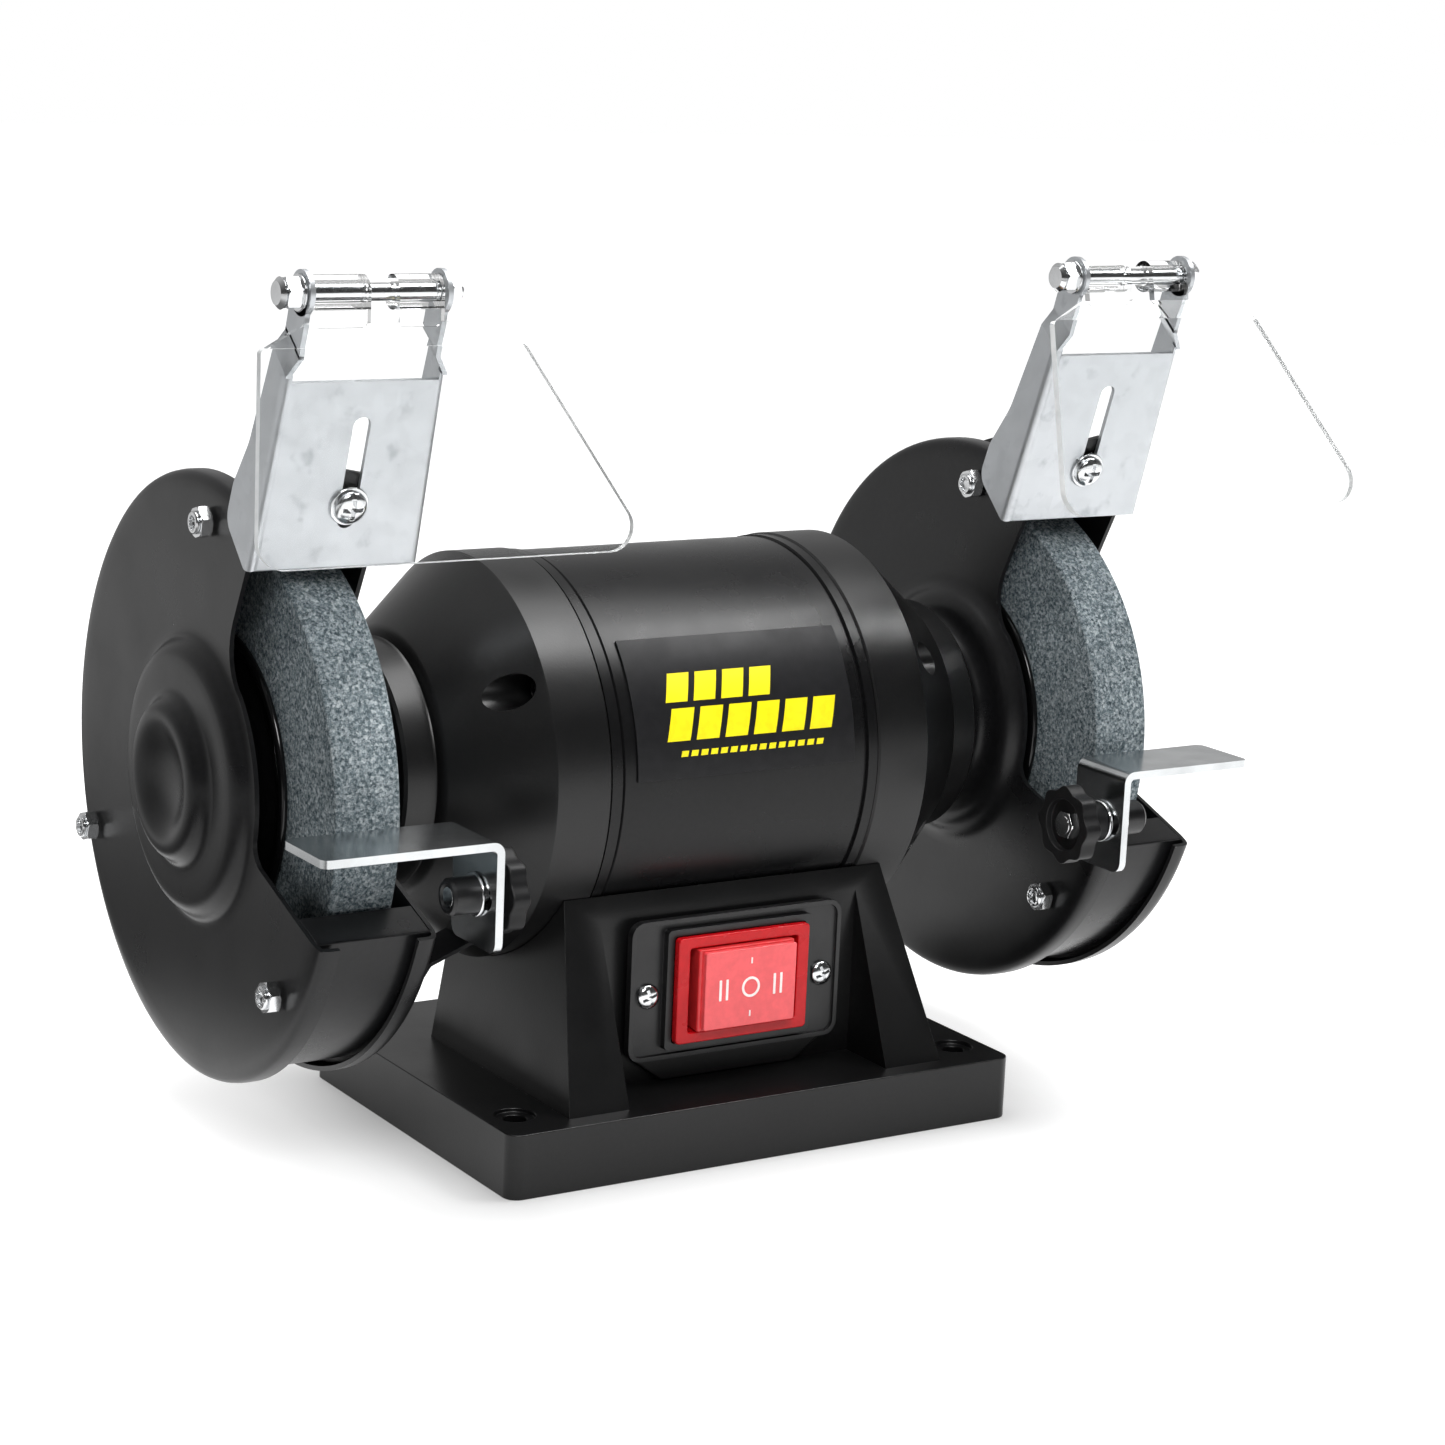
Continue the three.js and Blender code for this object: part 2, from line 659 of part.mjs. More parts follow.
// ---- Eye shields: drawn about their pivot, hanging straight down ----
function makeShield() {
  const { left, right, topRight, top, bottom, front, sheet } = SHIELD;
  const pane = new THREE.Shape();
  pane.moveTo(left, -top);
  pane.lineTo(left, -bottom + 8);
  pane.quadraticCurveTo(left, -bottom, left + 8, -bottom);
  pane.lineTo(right - 8, -bottom);
  pane.quadraticCurveTo(right + 2, -bottom, right - 1, -bottom + 9);
  pane.lineTo(topRight, -top);
  const sheetSolid = alongY(pane, -front - sheet, -front, 5);
  const lip = polygon([
    [-front, -top - 1],
    [-front - sheet, -top - 1],
    [-front - sheet, -top + 1],
    [-4.8, -8],
    [-2.4, -8],
  ]);
  const tab = polygon([
    [-2.4, -9],
    [-4.8, -9],
    [-4.8, 0],
    [-2.4, 0],
  ]);
  const pieces = [alongX(lip, left + 3, 23)];
  for (const [x0, x1] of [KNUCKLE.left, KNUCKLE.right]) {
    pieces.push(alongX(tab, x0, x1), rod(KNUCKLE.radius, x0, x1));
  }
  return cut(join(sheetSolid, ...pieces), rod(PIVOT.radius + GAP, -40, 40));
}

// ---- Tool rests ----
function makeToolRest({ inner, outer, front, back }) {
  const { top, sheet, drop, travel } = REST;
  const profile = polygon([
    [inner, top - drop],
    [inner + sheet, top - drop],
    [inner + sheet, top - sheet - 1.2],
    [inner + sheet + 1.2, top - sheet],
    [outer, top - sheet],
    [outer, top],
    [inner + 2.6, top],
    [inner + 0.8, top - 0.8],
    [inner, top - 2.6],
  ]);
  const angle = alongY(profile, front, back);
  const ends = [-travel, travel].map((along) => [KNOB.y + along, KNOB.z]);
  const slot = alongX(stadium(...ends, KNOB.stud + GAP), inner - 5, inner + 5, 6);
  return cut(angle, slot);
}

// A strap that carries the rest: it is clamped by a guard bolt and offset by a joggle.
function makeRestArm({ plate: plateFace, rest: restFace, joggle }, sheet) {
  const outline = alongX(stadium(straps.bolt, straps.knob, 5.7), 90, 130, 6);
  const path = polygon([
    [plateFace, -90],
    [plateFace + sheet, -90],
    [plateFace + sheet, joggle[0]],
    [restFace + sheet, joggle[1]],
    [restFace + sheet, 20],
    [restFace, 20],
    [restFace, joggle[1] - 0.4],
    [plateFace, joggle[0] - 0.4],
  ]);
  const holes = [
    rod(GUARD_BOLT.radius + GAP, 90, 130, ...straps.bolt, 10),
    rod(KNOB.stud + GAP, 90, 130, ...straps.knob),
  ];
  return cut(overlap(outline, alongY(path, -120, 0)), ...holes);
}

// A clamp knob whose grip stands off the face that it clamps.
function makeKnob(face, standOff, studEnd) {
  const { radius, disc, collar, stud, lobes } = KNOB;
  const outline = [];
  for (let i = 0; i < 4 * lobes; i++) {
    const angle = (i / (4 * lobes)) * 2 * Math.PI;
    const reach = radius - 0.8 + 0.8 * Math.cos(lobes * angle);
    outline.push([reach * Math.cos(angle), reach * Math.sin(angle)]);
  }
  const near = face - standOff;
  const grip = alongX(polygon(outline), near - disc, near);
  return join(grip, rod(collar, near - 1, face - GAP), rod(stud, near - 1, studEnd));
}

function makeRestNut(face) {
  const washer = rod(6, face + GAP, face + GAP + 1.5);
  const nut = rod(KNOB.nut, face + GAP + 1, face + 9.5);
  return cut(join(washer, nut), rod(KNOB.stud + GAP, face - 1, face + 9));
}

// ---- Switch: x, z drawing seen from the front ----
function makeSwitchHousing() {
  const { y, z, halfX, halfZ, bezelX, bezelZ } = SWITCH;
  const plate = alongY(roundedRectangle(halfX, halfZ, 5, 0, z), y, PEDESTAL.bay - GAP - 2.5, 4);
  const frame = alongY(roundedRectangle(bezelX + 2.3, bezelZ + 2.3, 2, 0, z), y - 2, y + 1, 4);
  const window = box(-22, 22, y - 5, y + 10, z - 15, z + 15);
  const chinClear = box(-36, 36, y + 1.5 - GAP, y + 10, z - 30, z + 30);
  return cut(join(plate, frame), window, chinClear, ...switchScrewHoles());
}

function makeSwitchBody() {
  const { y, z, bezelX, bezelZ } = SWITCH;
  const bezel = alongY(roundedRectangle(bezelX, bezelZ, 1.5, 0, z), y - 5, y - 2 - GAP, 4);
  const body = box(-21.5, 21.5, y - 2.6, -42, z - 14.7, z + 14.7);
  const well = box(-WINDOW.halfX, WINDOW.halfX, y - 8, -50, z - WINDOW.halfZ, z + WINDOW.halfZ);
  return cut(join(bezel, body), well);
}

function makeRocker() {
  const { halfX, halfZ, front, pivot } = ROCKER;
  const shape = polygon([
    [-halfX, front],
    [halfX, front],
    [halfX - 1.5, pivot],
    [0, pivot + 5],
    [-halfX + 1.5, pivot],
  ]);
  return alongZ(shape, SWITCH.z - halfZ, SWITCH.z + halfZ);
}

function makeSwitchScrew() {
  const head = new THREE.CylinderGeometry(3.4, 2.6, 2, SMALL_STEPS).translate(0, -1 - GAP, 0);
  const shank = new THREE.CylinderGeometry(SWITCH_SCREW.radius, SWITCH_SCREW.radius, 7, 10);
  return join(head, shank.translate(0, 2.8, 0));
}

// ---- Assembly ----
add(machine, "base", makeBase(), BLACK_CAST);
add(machine, "bottom_cover", makeBottomCover(), BLACK_SHEET);
add(machine, "cable_gland", makeGland(), BLACK_PLASTIC).position.set(28, PEDESTAL.rear + GAP, -80);
add(machine, "capacitor", rod(11, -28, 28, 8, -82, 20), BLACK_PLASTIC);
add(machine, "motor_housing", makeMotorHousing(), BLACK_PAINT);
add(machine, "stator_core", makeStatorCore(), LAMINATION);
add(machine, "label_plate", makeLabel(), LABEL);
add(machine, "spindle_shaft", makeShaft(), BRIGHT_STEEL);
add(machine, "rotor_core", makeRotorCore(), LAMINATION);
motorBoltPoints.forEach((point, i) => add(machine, `motor_bolt_${i + 1}`, makeMotorBolt(point), ZINC));

add(machine, "switch_housing", makeSwitchHousing(), BLACK_PLASTIC);
add(machine, "switch_body", makeSwitchBody(), SWITCH_RED);
add(machine, "switch_rocker", makeRocker(), SWITCH_RED);

for (const [side, group] of Object.entries(sides)) {
  const mirror = side === "left" ? -1 : 1;
  add(group, `winding_${side}`, makeWinding(), COPPER);
  add(group, `end_bell_${side}`, makeEndBell(), BLACK_CAST);
  add(group, `bearing_${side}`, makeBearing(), BRIGHT_STEEL);
  add(group, `wheel_${side}`, makeWheel(), GRIT);
  add(group, `inner_flange_${side}`, makeFlange(WHEEL.centre - WHEEL.width / 2, -1), BLACK_PAINT);
  add(group, `outer_flange_${side}`, makeFlange(WHEEL.centre + WHEEL.width / 2, 1), BLACK_PAINT);
  add(group, `spindle_nut_${side}`, makeSpindleNut(), ZINC);
  add(group, `guard_inner_plate_${side}`, makeInnerPlate(), BLACK_SHEET);
  add(group, `guard_outer_plate_${side}`, makeOuterPlate(), BLACK_SHEET);
  add(group, `guard_band_${side}`, makeBand(), BLACK_SHEET);
  guardBoltPoints.forEach((point, i) => {
    add(group, `guard_bolt_${side}_${i + 1}`, makeGuardBolt(point), ZINC);
  });
  const { centre, raise } = BRACKET_SIDE[side];
  const bracket = add(group, `shield_bracket_${side}`, makeBracket(BRACKET_SIDE[side]), ZINC);
  bracket.position.set(centre, ...bracketPoint(raise, 0));
  bracket.rotation.x = lean;

  const screw = add(group, `bracket_screw_${side}`, makeBracketScrew(), BRIGHT_STEEL);
  screw.position.set(SLOT.x, ...bracketPoint(SLOT.screw, 0));
  screw.rotation.x = lean;
  const pivotBolt = add(machine, `pivot_bolt_${side}`, makePivotBolt(), BRIGHT_STEEL);
  const shield = add(machine, `eye_shield_${side}`, makeShield(), CLEAR);
  for (const hinged of [pivotBolt, shield]) {
    hinged.position.set(mirror * centre, ...bracketPoint(PIVOT.up + raise, PIVOT.back));
  }
  shield.rotation.x = -radians(SHIELD_TILT[side]);

  add(group, `tool_rest_${side}`, makeToolRest(REST_SIDE[side]), ZINC);
  const switchScrew = add(machine, `switch_screw_${side}`, makeSwitchScrew(), BRIGHT_STEEL);
  switchScrew.position.set(mirror * SWITCH_SCREW.x, SWITCH.y, SWITCH_SCREW.z);
}

// The left strap lies inboard of its rest and the right strap outboard, so both face +X.
const strapSheet = 2.3;
const restOuter = REST_SIDE.right.inner + REST.sheet;
const arms = {
  left: {
    plate: GUARD.inner - GAP - strapSheet,
    rest: REST_SIDE.left.inner - GAP - strapSheet,
    joggle: [-41, -32.8],
    standOff: GAP,
  },
  right: {
    plate: GUARD.inner + GUARD.sheet + GAP,
    rest: restOuter + GAP,
    joggle: [-25.2, -23.2],
    standOff: 9.8,
  },
};
for (const [side, group] of Object.entries(sides)) {
  const { rest, standOff } = arms[side];
  const inboard = side === "left" ? rest : REST_SIDE.right.inner;
  const outboard = side === "left" ? REST_SIDE.left.inner + REST.sheet : rest + strapSheet;
  add(group, `rest_arm_${side}`, makeRestArm(arms[side], strapSheet), BLACK_SHEET);
  const knob = add(group, `rest_knob_${side}`, makeKnob(inboard, standOff, outboard + 8), BLACK_PLASTIC);
  knob.position.set(0, KNOB.y, KNOB.z);
  add(group, `rest_nut_${side}`, makeRestNut(outboard), BLACK_PLASTIC).position.set(0, KNOB.y, KNOB.z);
}

export default grinder;
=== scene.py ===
"""The looks of a 150 mm bench grinder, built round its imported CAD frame.

Shapes are drawn in millimetres about the middle of the spindle, with +X along the spindle, -Y towards
the operator and +Z up. Pieces of the two ends are drawn for the right end and mirrored for the left.
"""

import math

import bmesh
import bpy
from mathutils import Matrix, Vector


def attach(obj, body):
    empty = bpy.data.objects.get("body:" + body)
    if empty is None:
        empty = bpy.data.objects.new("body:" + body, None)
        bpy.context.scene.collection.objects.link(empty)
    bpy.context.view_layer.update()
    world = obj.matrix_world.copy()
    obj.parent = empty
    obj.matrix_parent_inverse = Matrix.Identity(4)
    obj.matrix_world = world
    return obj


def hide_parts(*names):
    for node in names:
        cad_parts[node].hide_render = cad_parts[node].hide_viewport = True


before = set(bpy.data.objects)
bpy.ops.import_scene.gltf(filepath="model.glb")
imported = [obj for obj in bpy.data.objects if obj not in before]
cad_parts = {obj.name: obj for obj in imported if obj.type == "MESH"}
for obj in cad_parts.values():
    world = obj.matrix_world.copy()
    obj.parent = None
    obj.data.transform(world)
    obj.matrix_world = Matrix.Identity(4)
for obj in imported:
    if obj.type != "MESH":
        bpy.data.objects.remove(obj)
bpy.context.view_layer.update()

MM = 0.001
SPINDLE_HEIGHT = 114
FLOOR, BASE_TOP = -114, -94
SIDES = {"left": -1, "right": 1}

# ---- Outlines ----


def polar(radius, degrees, y=0.0, z=0.0):
    """A point in y, z at an angle above the horizontal, seen from the front."""
    a = math.radians(degrees)
    return y - radius * math.cos(a), z + radius * math.sin(a)


def rounded(points, steps=5):
    """A closed outline in which each [u, v, radius] corner becomes an arc."""
    made = []
    for i, point in enumerate(points):
        here = Vector(point[:2])
        radius = point[2] if len(point) > 2 else 0
        to_last = Vector(points[i - 1][:2]) - here
        to_next = Vector(points[(i + 1) % len(points)][:2]) - here
        half = to_last.angle(to_next) / 2
        if radius <= 0 or half > math.radians(89):
            made.append(tuple(here))
            continue
        reach = min(radius / math.tan(half), 0.49 * to_last.length, 0.49 * to_next.length)
        radius = reach * math.tan(half)
        middle = (to_last.normalized() + to_next.normalized()).normalized()
        centre = here + middle * (radius / math.sin(half))
        first = here + to_last.normalized() * reach - centre
        last = here + to_next.normalized() * reach - centre
        turn = first.angle_signed(last)
        for k in range(steps + 1):
            arm = first.copy()
            arm.rotate(Matrix.Rotation(-turn * k / steps, 2))
            made.append(tuple(centre + arm))
    return made


def rounded_box(half_u, half_v, radius, u=0.0, v=0.0, steps=5):
    corners = [(-1, -1), (1, -1), (1, 1), (-1, 1)]
    return rounded([(u + a * half_u, v + b * half_v, radius) for a, b in corners], steps)


def stadium(u, v0, v1, radius, steps=12):
    """A slot's outline, upright between two centres."""
    made = []
    for k in range(steps + 1):
        a = math.pi * k / steps
        made.append((u + radius * math.cos(a), v1 + radius * math.sin(a)))
    for k in range(steps + 1):
        a = math.pi + math.pi * k / steps
        made.append((u + radius * math.cos(a), v0 + radius * math.sin(a)))
    return made


def softened(line, rounds=2):
    """An open line with its corners cut down to a smooth curve."""
    for _ in range(rounds):
        cut = [line[0]]
        for (a, b), (c, d) in zip(line, line[1:]):
            cut.append((0.75 * a + 0.25 * c, 0.75 * b + 0.25 * d))
            cut.append((0.25 * a + 0.75 * c, 0.25 * b + 0.75 * d))
        line = [*cut, line[-1]]
    return line


def thickened(line, depth):
    """The closed section of a sheet of this depth, on the right-hand side of an open line."""
    offset = []
    for i, point in enumerate(line):
        before = Vector(line[max(i - 1, 0)])
        after = Vector(line[min(i + 1, len(line) - 1)])
        run = (after - before).normalized()
        offset.append((point[0] + run.y * depth, point[1] - run.x * depth))
    return line + offset[::-1]


# ---- Solids ----


def lathe(profile, steps=96, y=0.0, z=0.0):
    """A closed [radius, x] profile turned about the X axis."""
    bm = bmesh.new()
    rings = []
    for i in range(steps):
        a = 2 * math.pi * i / steps
        rings.append([bm.verts.new((x, y + r * math.cos(a), z + r * math.sin(a))) for r, x in profile])
    count = len(profile)
    for i in range(steps):
        here, there = rings[i], rings[(i + 1) % steps]
        for j in range(count):
            k = (j + 1) % count
            bm.faces.new((here[j], here[k], there[k], there[j]))
    bmesh.ops.remove_doubles(bm, verts=bm.verts, dist=1e-4)
    loose = [e for e in bm.edges if not e.link_faces]
    bmesh.ops.delete(bm, geom=loose, context="EDGES")
    bmesh.ops.recalc_face_normals(bm, faces=bm.faces)
    return bm


def prism(outline, low, high, place):
    """An outline in u, v carried along w, where place turns u, v, w into a point."""
    bm = bmesh.new()
    near = [bm.verts.new(place(u, v, low)) for u, v in outline]
    far = [bm.verts.new(place(u, v, high)) for u, v in outline]
    bm.faces.new(near)
    bm.faces.new(far[::-1])
    for i in range(len(outline)):
        k = (i + 1) % len(outline)
        bm.faces.new((near[i], far[i], far[k], near[k]))
    bmesh.ops.recalc_face_normals(bm, faces=bm.faces)
    return bm


def along_x(y, z, x):
    return x, y, z


def along_y(x, z, y):
    return x, y, z


def along_z(x, y, z):
    return x, y, z


def box(x0, x1, y0, y1, z0, z1):
    return prism([(x0, y0), (x1, y0), (x1, y1), (x0, y1)], z0, z1, along_z)


def rod(radius, x0, x1, y=0.0, z=0.0, steps=40, edge=0.0):
    """A cylinder along X with its two rims rounded off."""
    profile = [(0, x0), (radius - edge, x0), (radius, x0 + edge)]
    profile += [(radius, x1 - edge), (radius - edge, x1), (0, x1)]
    return lathe(profile if edge else [(0, x0), (radius, x0), (radius, x1), (0, x1)], steps, y, z)


def hexagon(radius, x0, x1, y=0.0, z=0.0, turn=0.0):
    """A hexagonal nut or head along X, its corners chamfered on both faces."""
    points = [polar(radius, turn + 60 * i, y, z) for i in range(6)]
    body = prism(points, x0, x1, along_x)
    flat, rim, chamfer = radius * 0.9, radius + 0.4, 0.8
    profile = [(0, x0), (flat, x0), (rim, x0 + chamfer), (rim, x1 - chamfer), (flat, x1), (0, x1)]
    return combine("INTERSECT", body, lathe(profile, 48, y, z))


def scratch(bm):
    mesh = bpy.data.meshes.new("scratch")
    bm.to_mesh(mesh)
    bm.free()
    made = bpy.data.objects.new("scratch", mesh)
    bpy.context.scene.collection.objects.link(made)
    return made


def combine(operation, first, *others):
    """The first solid joined with, cut by, or kept inside each of the others."""
    target = scratch(first)
    tools = [scratch(other) for other in others]
    for tool in tools:
        modifier = target.modifiers.new("combine", "BOOLEAN")
        modifier.operation = operation
        modifier.solver = "EXACT"
        modifier.object = tool
    evaluated = target.evaluated_get(bpy.context.evaluated_depsgraph_get())
    bm = bmesh.new()
    bm.from_mesh(evaluated.to_mesh())
    evaluated.to_mesh_clear()
    for used in [target, *tools]:
        mesh = used.data
        bpy.data.objects.remove(used)
        bpy.data.meshes.remove(mesh)
    return bm


def join(first, *others):
    return combine("UNION", first, *others)


def cut(first, *others):
    return combine("DIFFERENCE", first, *others)


def merged(*parts):
    """Several solids in one mesh, each left whole."""
    made = bmesh.new()
    for part in parts:
        mesh = bpy.data.meshes.new("scratch")
        part.to_mesh(mesh)
        part.free()
        made.from_mesh(mesh)
        bpy.data.meshes.remove(mesh)
    return made


def placed(bm, matrix):
    bmesh.ops.transform(bm, matrix=matrix, verts=bm.verts)
    if matrix.determinant() < 0:
        bmesh.ops.reverse_faces(bm, faces=bm.faces)
    return bm


def piece(name, bm, material, body, stands_for=(), bevel=0.0, segments=2, sharp=38, mirror=False):
    """A finished piece in metres, riding on a CAD body and standing for CAD nodes."""
    to_frame = Matrix.Translation((0, 0, SPINDLE_HEIGHT * MM)) @ Matrix.Scale(MM, 4)
    if mirror:
        to_frame = to_frame @ Matrix.Scale(-1, 4, (1, 0, 0))
    placed(bm, to_frame)
    mesh = bpy.data.meshes.new(name)
    bm.to_mesh(mesh)
    bm.free()
    mesh.shade_smooth()
    mesh.set_sharp_from_angle(angle=math.radians(sharp))
    mesh.materials.append(material)
    made = bpy.data.objects.new(name, mesh)
    bpy.context.scene.collection.objects.link(made)
    if bevel:
        rounding = made.modifiers.new("edges", "BEVEL")
        rounding.width = bevel * MM
        rounding.segments = segments
        rounding.limit_method = "ANGLE"
        rounding.angle_limit = math.radians(sharp)
        rounding.miter_outer = "MITER_ARC"
        rounding.use_clamp_overlap = True
        weighting = made.modifiers.new("normals", "WEIGHTED_NORMAL")
        weighting.keep_sharp = False
        weighting.weight = 100
    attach(made, body)
    if stands_for:
        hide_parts(*stands_for)
    return made


# ---- Materials ----


class Surface:
    """A procedural material: helpers add nodes round one Principled shader."""

    def __init__(self, name, color, roughness, metallic=0.0, **values):
        self.material = bpy.data.materials.new(name)
        self.material.use_nodes = True
        self.nodes = self.material.node_tree.nodes
        self.links = self.material.node_tree.links
        self.shader = self.nodes["Principled BSDF"]
        self.shader.inputs["Base Color"].default_value = (*color, 1)
        self.shader.inputs["Roughness"].default_value = roughness
        self.shader.inputs["Metallic"].default_value = metallic
        for socket, value in values.items():
            self.shader.inputs[socket.replace("_", " ")].default_value = value
        self.place = self.nodes.new("ShaderNodeTexCoord").outputs["Object"]

    def stretched(self, scale):
        mapping = self.nodes.new("ShaderNodeMapping")
        mapping.inputs["Scale"].default_value = scale
        self.links.new(self.place, mapping.inputs["Vector"])
        return mapping.outputs["Vector"]

    def noise(self, per_metre, detail=3.0, place=None, rough=0.55):
        node = self.nodes.new("ShaderNodeTexNoise")
        node.inputs["Scale"].default_value = per_metre
        node.inputs["Detail"].default_value = detail
        node.inputs["Roughness"].default_value = rough
        self.links.new(place or self.place, node.inputs["Vector"])
        return node.outputs["Fac"]

    def cells(self, per_metre, output="Color"):
        node = self.nodes.new("ShaderNodeTexVoronoi")
        node.inputs["Scale"].default_value = per_metre
        self.links.new(self.place, node.inputs["Vector"])
        return node.outputs[output]

    def ramp(self, value, *stops):
        node = self.nodes.new("ShaderNodeValToRGB")
        while len(node.color_ramp.elements) < len(stops):
            node.color_ramp.elements.new(0.5)
        for element, (at, color) in zip(node.color_ramp.elements, stops):
            element.position = at
            element.color = (*color, 1) if isinstance(color, tuple) else (color, color, color, 1)
        self.links.new(value, node.inputs["Fac"])
        return node.outputs["Color"]

    def mixed(self, factor, first, second, kind="MIX"):
        node = self.nodes.new("ShaderNodeMix")
        node.data_type = "RGBA"
        node.blend_type = kind
        for socket, value in ((0, factor), (6, first), (7, second)):
            if isinstance(value, bpy.types.NodeSocket):
                self.links.new(value, node.inputs[socket])
            elif socket == 0:
                node.inputs[socket].default_value = value
            else:
                node.inputs[socket].default_value = (*value, 1)
        return node.outputs[2]

    def wire(self, output, socket):
        self.links.new(output, self.shader.inputs[socket])
        return self

    def bumped(self, height, strength, depth_mm):
        node = self.nodes.new("ShaderNodeBump")
        node.inputs["Strength"].default_value = strength
        node.inputs["Distance"].default_value = depth_mm * MM
        self.links.new(height, node.inputs["Height"])
        last = self.shader.inputs["Normal"]
        if last.links:
            self.links.new(last.links[0].from_socket, node.inputs["Normal"])
        self.links.new(node.outputs["Normal"], last)
        return self


def black_coat(name, color, roughness, grain, depth, spread=0.08, shine=0.4):
    """Black paint with a fine grain, uneven gloss and a trace of dust."""
    s = Surface(name, color, roughness, Specular_IOR_Level=shine)
    patches = s.noise(38, 4)
    gloss = s.ramp(patches, (0.3, roughness - spread / 2), (0.7, roughness + spread / 2))
    s.wire(gloss, "Roughness")
    light = tuple(c * 1.5 for c in color)
    s.wire(s.ramp(s.noise(grain * 0.6, 4), (0.35, color), (0.75, light)), "Base Color")
    s.bumped(s.noise(grain, 2), 0.5, depth)
    return s.material


def bright_metal(name, color, roughness, spread=0.1, brushed=None, depth=0.01):
    s = Surface(name, color, roughness, 1.0)
    grain = s.noise(900, 3, s.stretched(brushed or (1, 1, 1)))
    s.wire(s.ramp(grain, (0.3, roughness - spread / 2), (0.75, roughness + spread / 2)), "Roughness")
    s.bumped(grain, 0.25, depth)
    dark = tuple(c * 0.8 for c in color)
    s.wire(s.ramp(s.noise(60, 4), (0.3, dark), (0.6, color)), "Base Color")
    return s.material


def galvanised():
    """Zinc on sheet steel: faint spangles and small dull spots."""
    color = (0.56, 0.58, 0.6)
    s = Surface("galvanised_sheet", color, 0.36, 0.85)
    spangle = s.ramp(s.cells(260), (0.0, 0.86), (1.0, 1.0))
    spots = s.ramp(s.noise(120, 5), (0.28, (0.42, 0.44, 0.46)), (0.42, color))
    s.wire(s.mixed(0.5, spots, spangle, "MULTIPLY"), "Base Color")
    s.wire(s.ramp(s.noise(160, 3), (0.3, 0.3), (0.7, 0.44)), "Roughness")
    s.bumped(s.noise(700, 2), 0.2, 0.02)
    return s.material


def grinding_grit(name, shade, contrast):
    """Bonded grit: light and dark grains under a millimetre across, with open pores."""
    s = Surface(name, (0.16, 0.2, 0.22), 0.92, Specular_IOR_Level=0.2)
    low, high = 0.5 - 0.42 / contrast, 0.5 + 0.42 / contrast
    grains = s.ramp(s.cells(1050), (low, (0.02, 0.035, 0.045)), (0.45, (0.13, 0.165, 0.18)),
                    (0.6, (0.22, 0.27, 0.29)), (high, (0.66, 0.71, 0.73)))
    speckle = s.ramp(s.noise(1100, 5, rough=0.8), (0.4, (0.03, 0.05, 0.06)), (0.5, (0.16, 0.2, 0.22)),
                     (0.6, (0.52, 0.57, 0.59)))
    cloud = s.ramp(s.noise(45, 3), (0.3, 0.78 * shade), (0.7, shade))
    both = s.mixed(0.6, grains, speckle)
    s.wire(s.mixed(1.0, both, cloud, "MULTIPLY"), "Base Color")
    s.bumped(s.cells(1050, "Distance"), 0.45, 0.25)
    s.bumped(s.noise(900, 4), 0.5, 0.2)
    return s.material


def moulded(name, color, roughness, grain=1400, depth=0.03, **values):
    s = Surface(name, color, roughness, **values)
    s.wire(s.ramp(s.noise(70, 3), (0.3, roughness - 0.04), (0.7, roughness + 0.06)), "Roughness")
    light = tuple(min(1.0, c * 1.15 + 0.002) for c in color)
    s.wire(s.ramp(s.noise(300, 3), (0.35, color), (0.7, light)), "Base Color")
    s.bumped(s.noise(grain, 2), 0.3, depth)
    return s.material


def clear_sheet(name, color, roughness, ior=1.45):
    s = Surface(name, color, roughness, Transmission_Weight=1.0, IOR=ior)
    s.bumped(s.noise(30, 2), 0.05, 0.05)
    return s.material


GUARD_BLACK = black_coat("guard_paint", (0.006, 0.006, 0.0065), 0.3, 900, 0.008, shine=0.3)
TUBE_BLACK = black_coat("tube_paint", (0.004, 0.004, 0.0043), 0.28, 1100, 0.008, shine=0.26)
CAST_BLACK = black_coat("cast_paint", (0.003, 0.003, 0.0032), 0.34, 1500, 0.04, shine=0.42)
BASE_BLACK = black_coat("base_paint", (0.0035, 0.0035, 0.0037), 0.32, 1300, 0.02, shine=0.36)
GLOSS_BLACK = black_coat("flange_paint", (0.003, 0.003, 0.0033), 0.14, 600, 0.004, 0.04)
PLASTIC_BLACK = moulded("black_plastic", (0.005, 0.005, 0.0055), 0.36, Specular_IOR_Level=0.5)
RUBBER_BLACK = moulded("knob_plastic", (0.006, 0.006, 0.0065), 0.42, 1000, 0.05, Specular_IOR_Level=0.26)
ZINC = galvanised()
REST_ZINC = bright_metal("bright_zinc_sheet", (0.66, 0.68, 0.69), 0.2, 0.08, (1, 8, 8), 0.008)
STEEL = bright_metal("bright_steel", (0.78, 0.79, 0.8), 0.16, 0.1)
DARK_STEEL = bright_metal("dark_steel", (0.1, 0.1, 0.105), 0.3, 0.1)
LAMINATION = bright_metal("lamination", (0.4, 0.41, 0.43), 0.45, 0.1, (40, 1, 1), 0.05)
COPPER = bright_metal("copper_winding", (0.6, 0.25, 0.12), 0.35, 0.1, (1, 30, 30), 0.1)
GRIT = grinding_grit("grinding_grit", 1.0, 1.1)
# Painted shade: the wheels' flat sides get the same grit at 0.72 of its brightness, as they face away from
# the light.
GRIT_SIDE_PAINTED_SHADE = grinding_grit("grinding_side_painted_shade", 0.72, 1.0)
CLEAR = clear_sheet("clear_polycarbonate", (0.99, 0.995, 0.995), 0.01, 1.16)
CLEAR_EDGE = moulded("clear_edge", (0.86, 0.88, 0.88), 0.4, 500, 0.005, Transmission_Weight=0.35, IOR=1.2)
SWITCH_RED = moulded("switch_red", (0.5, 0.002, 0.006), 0.25, 500, 0.01, Specular_IOR_Level=0.3)
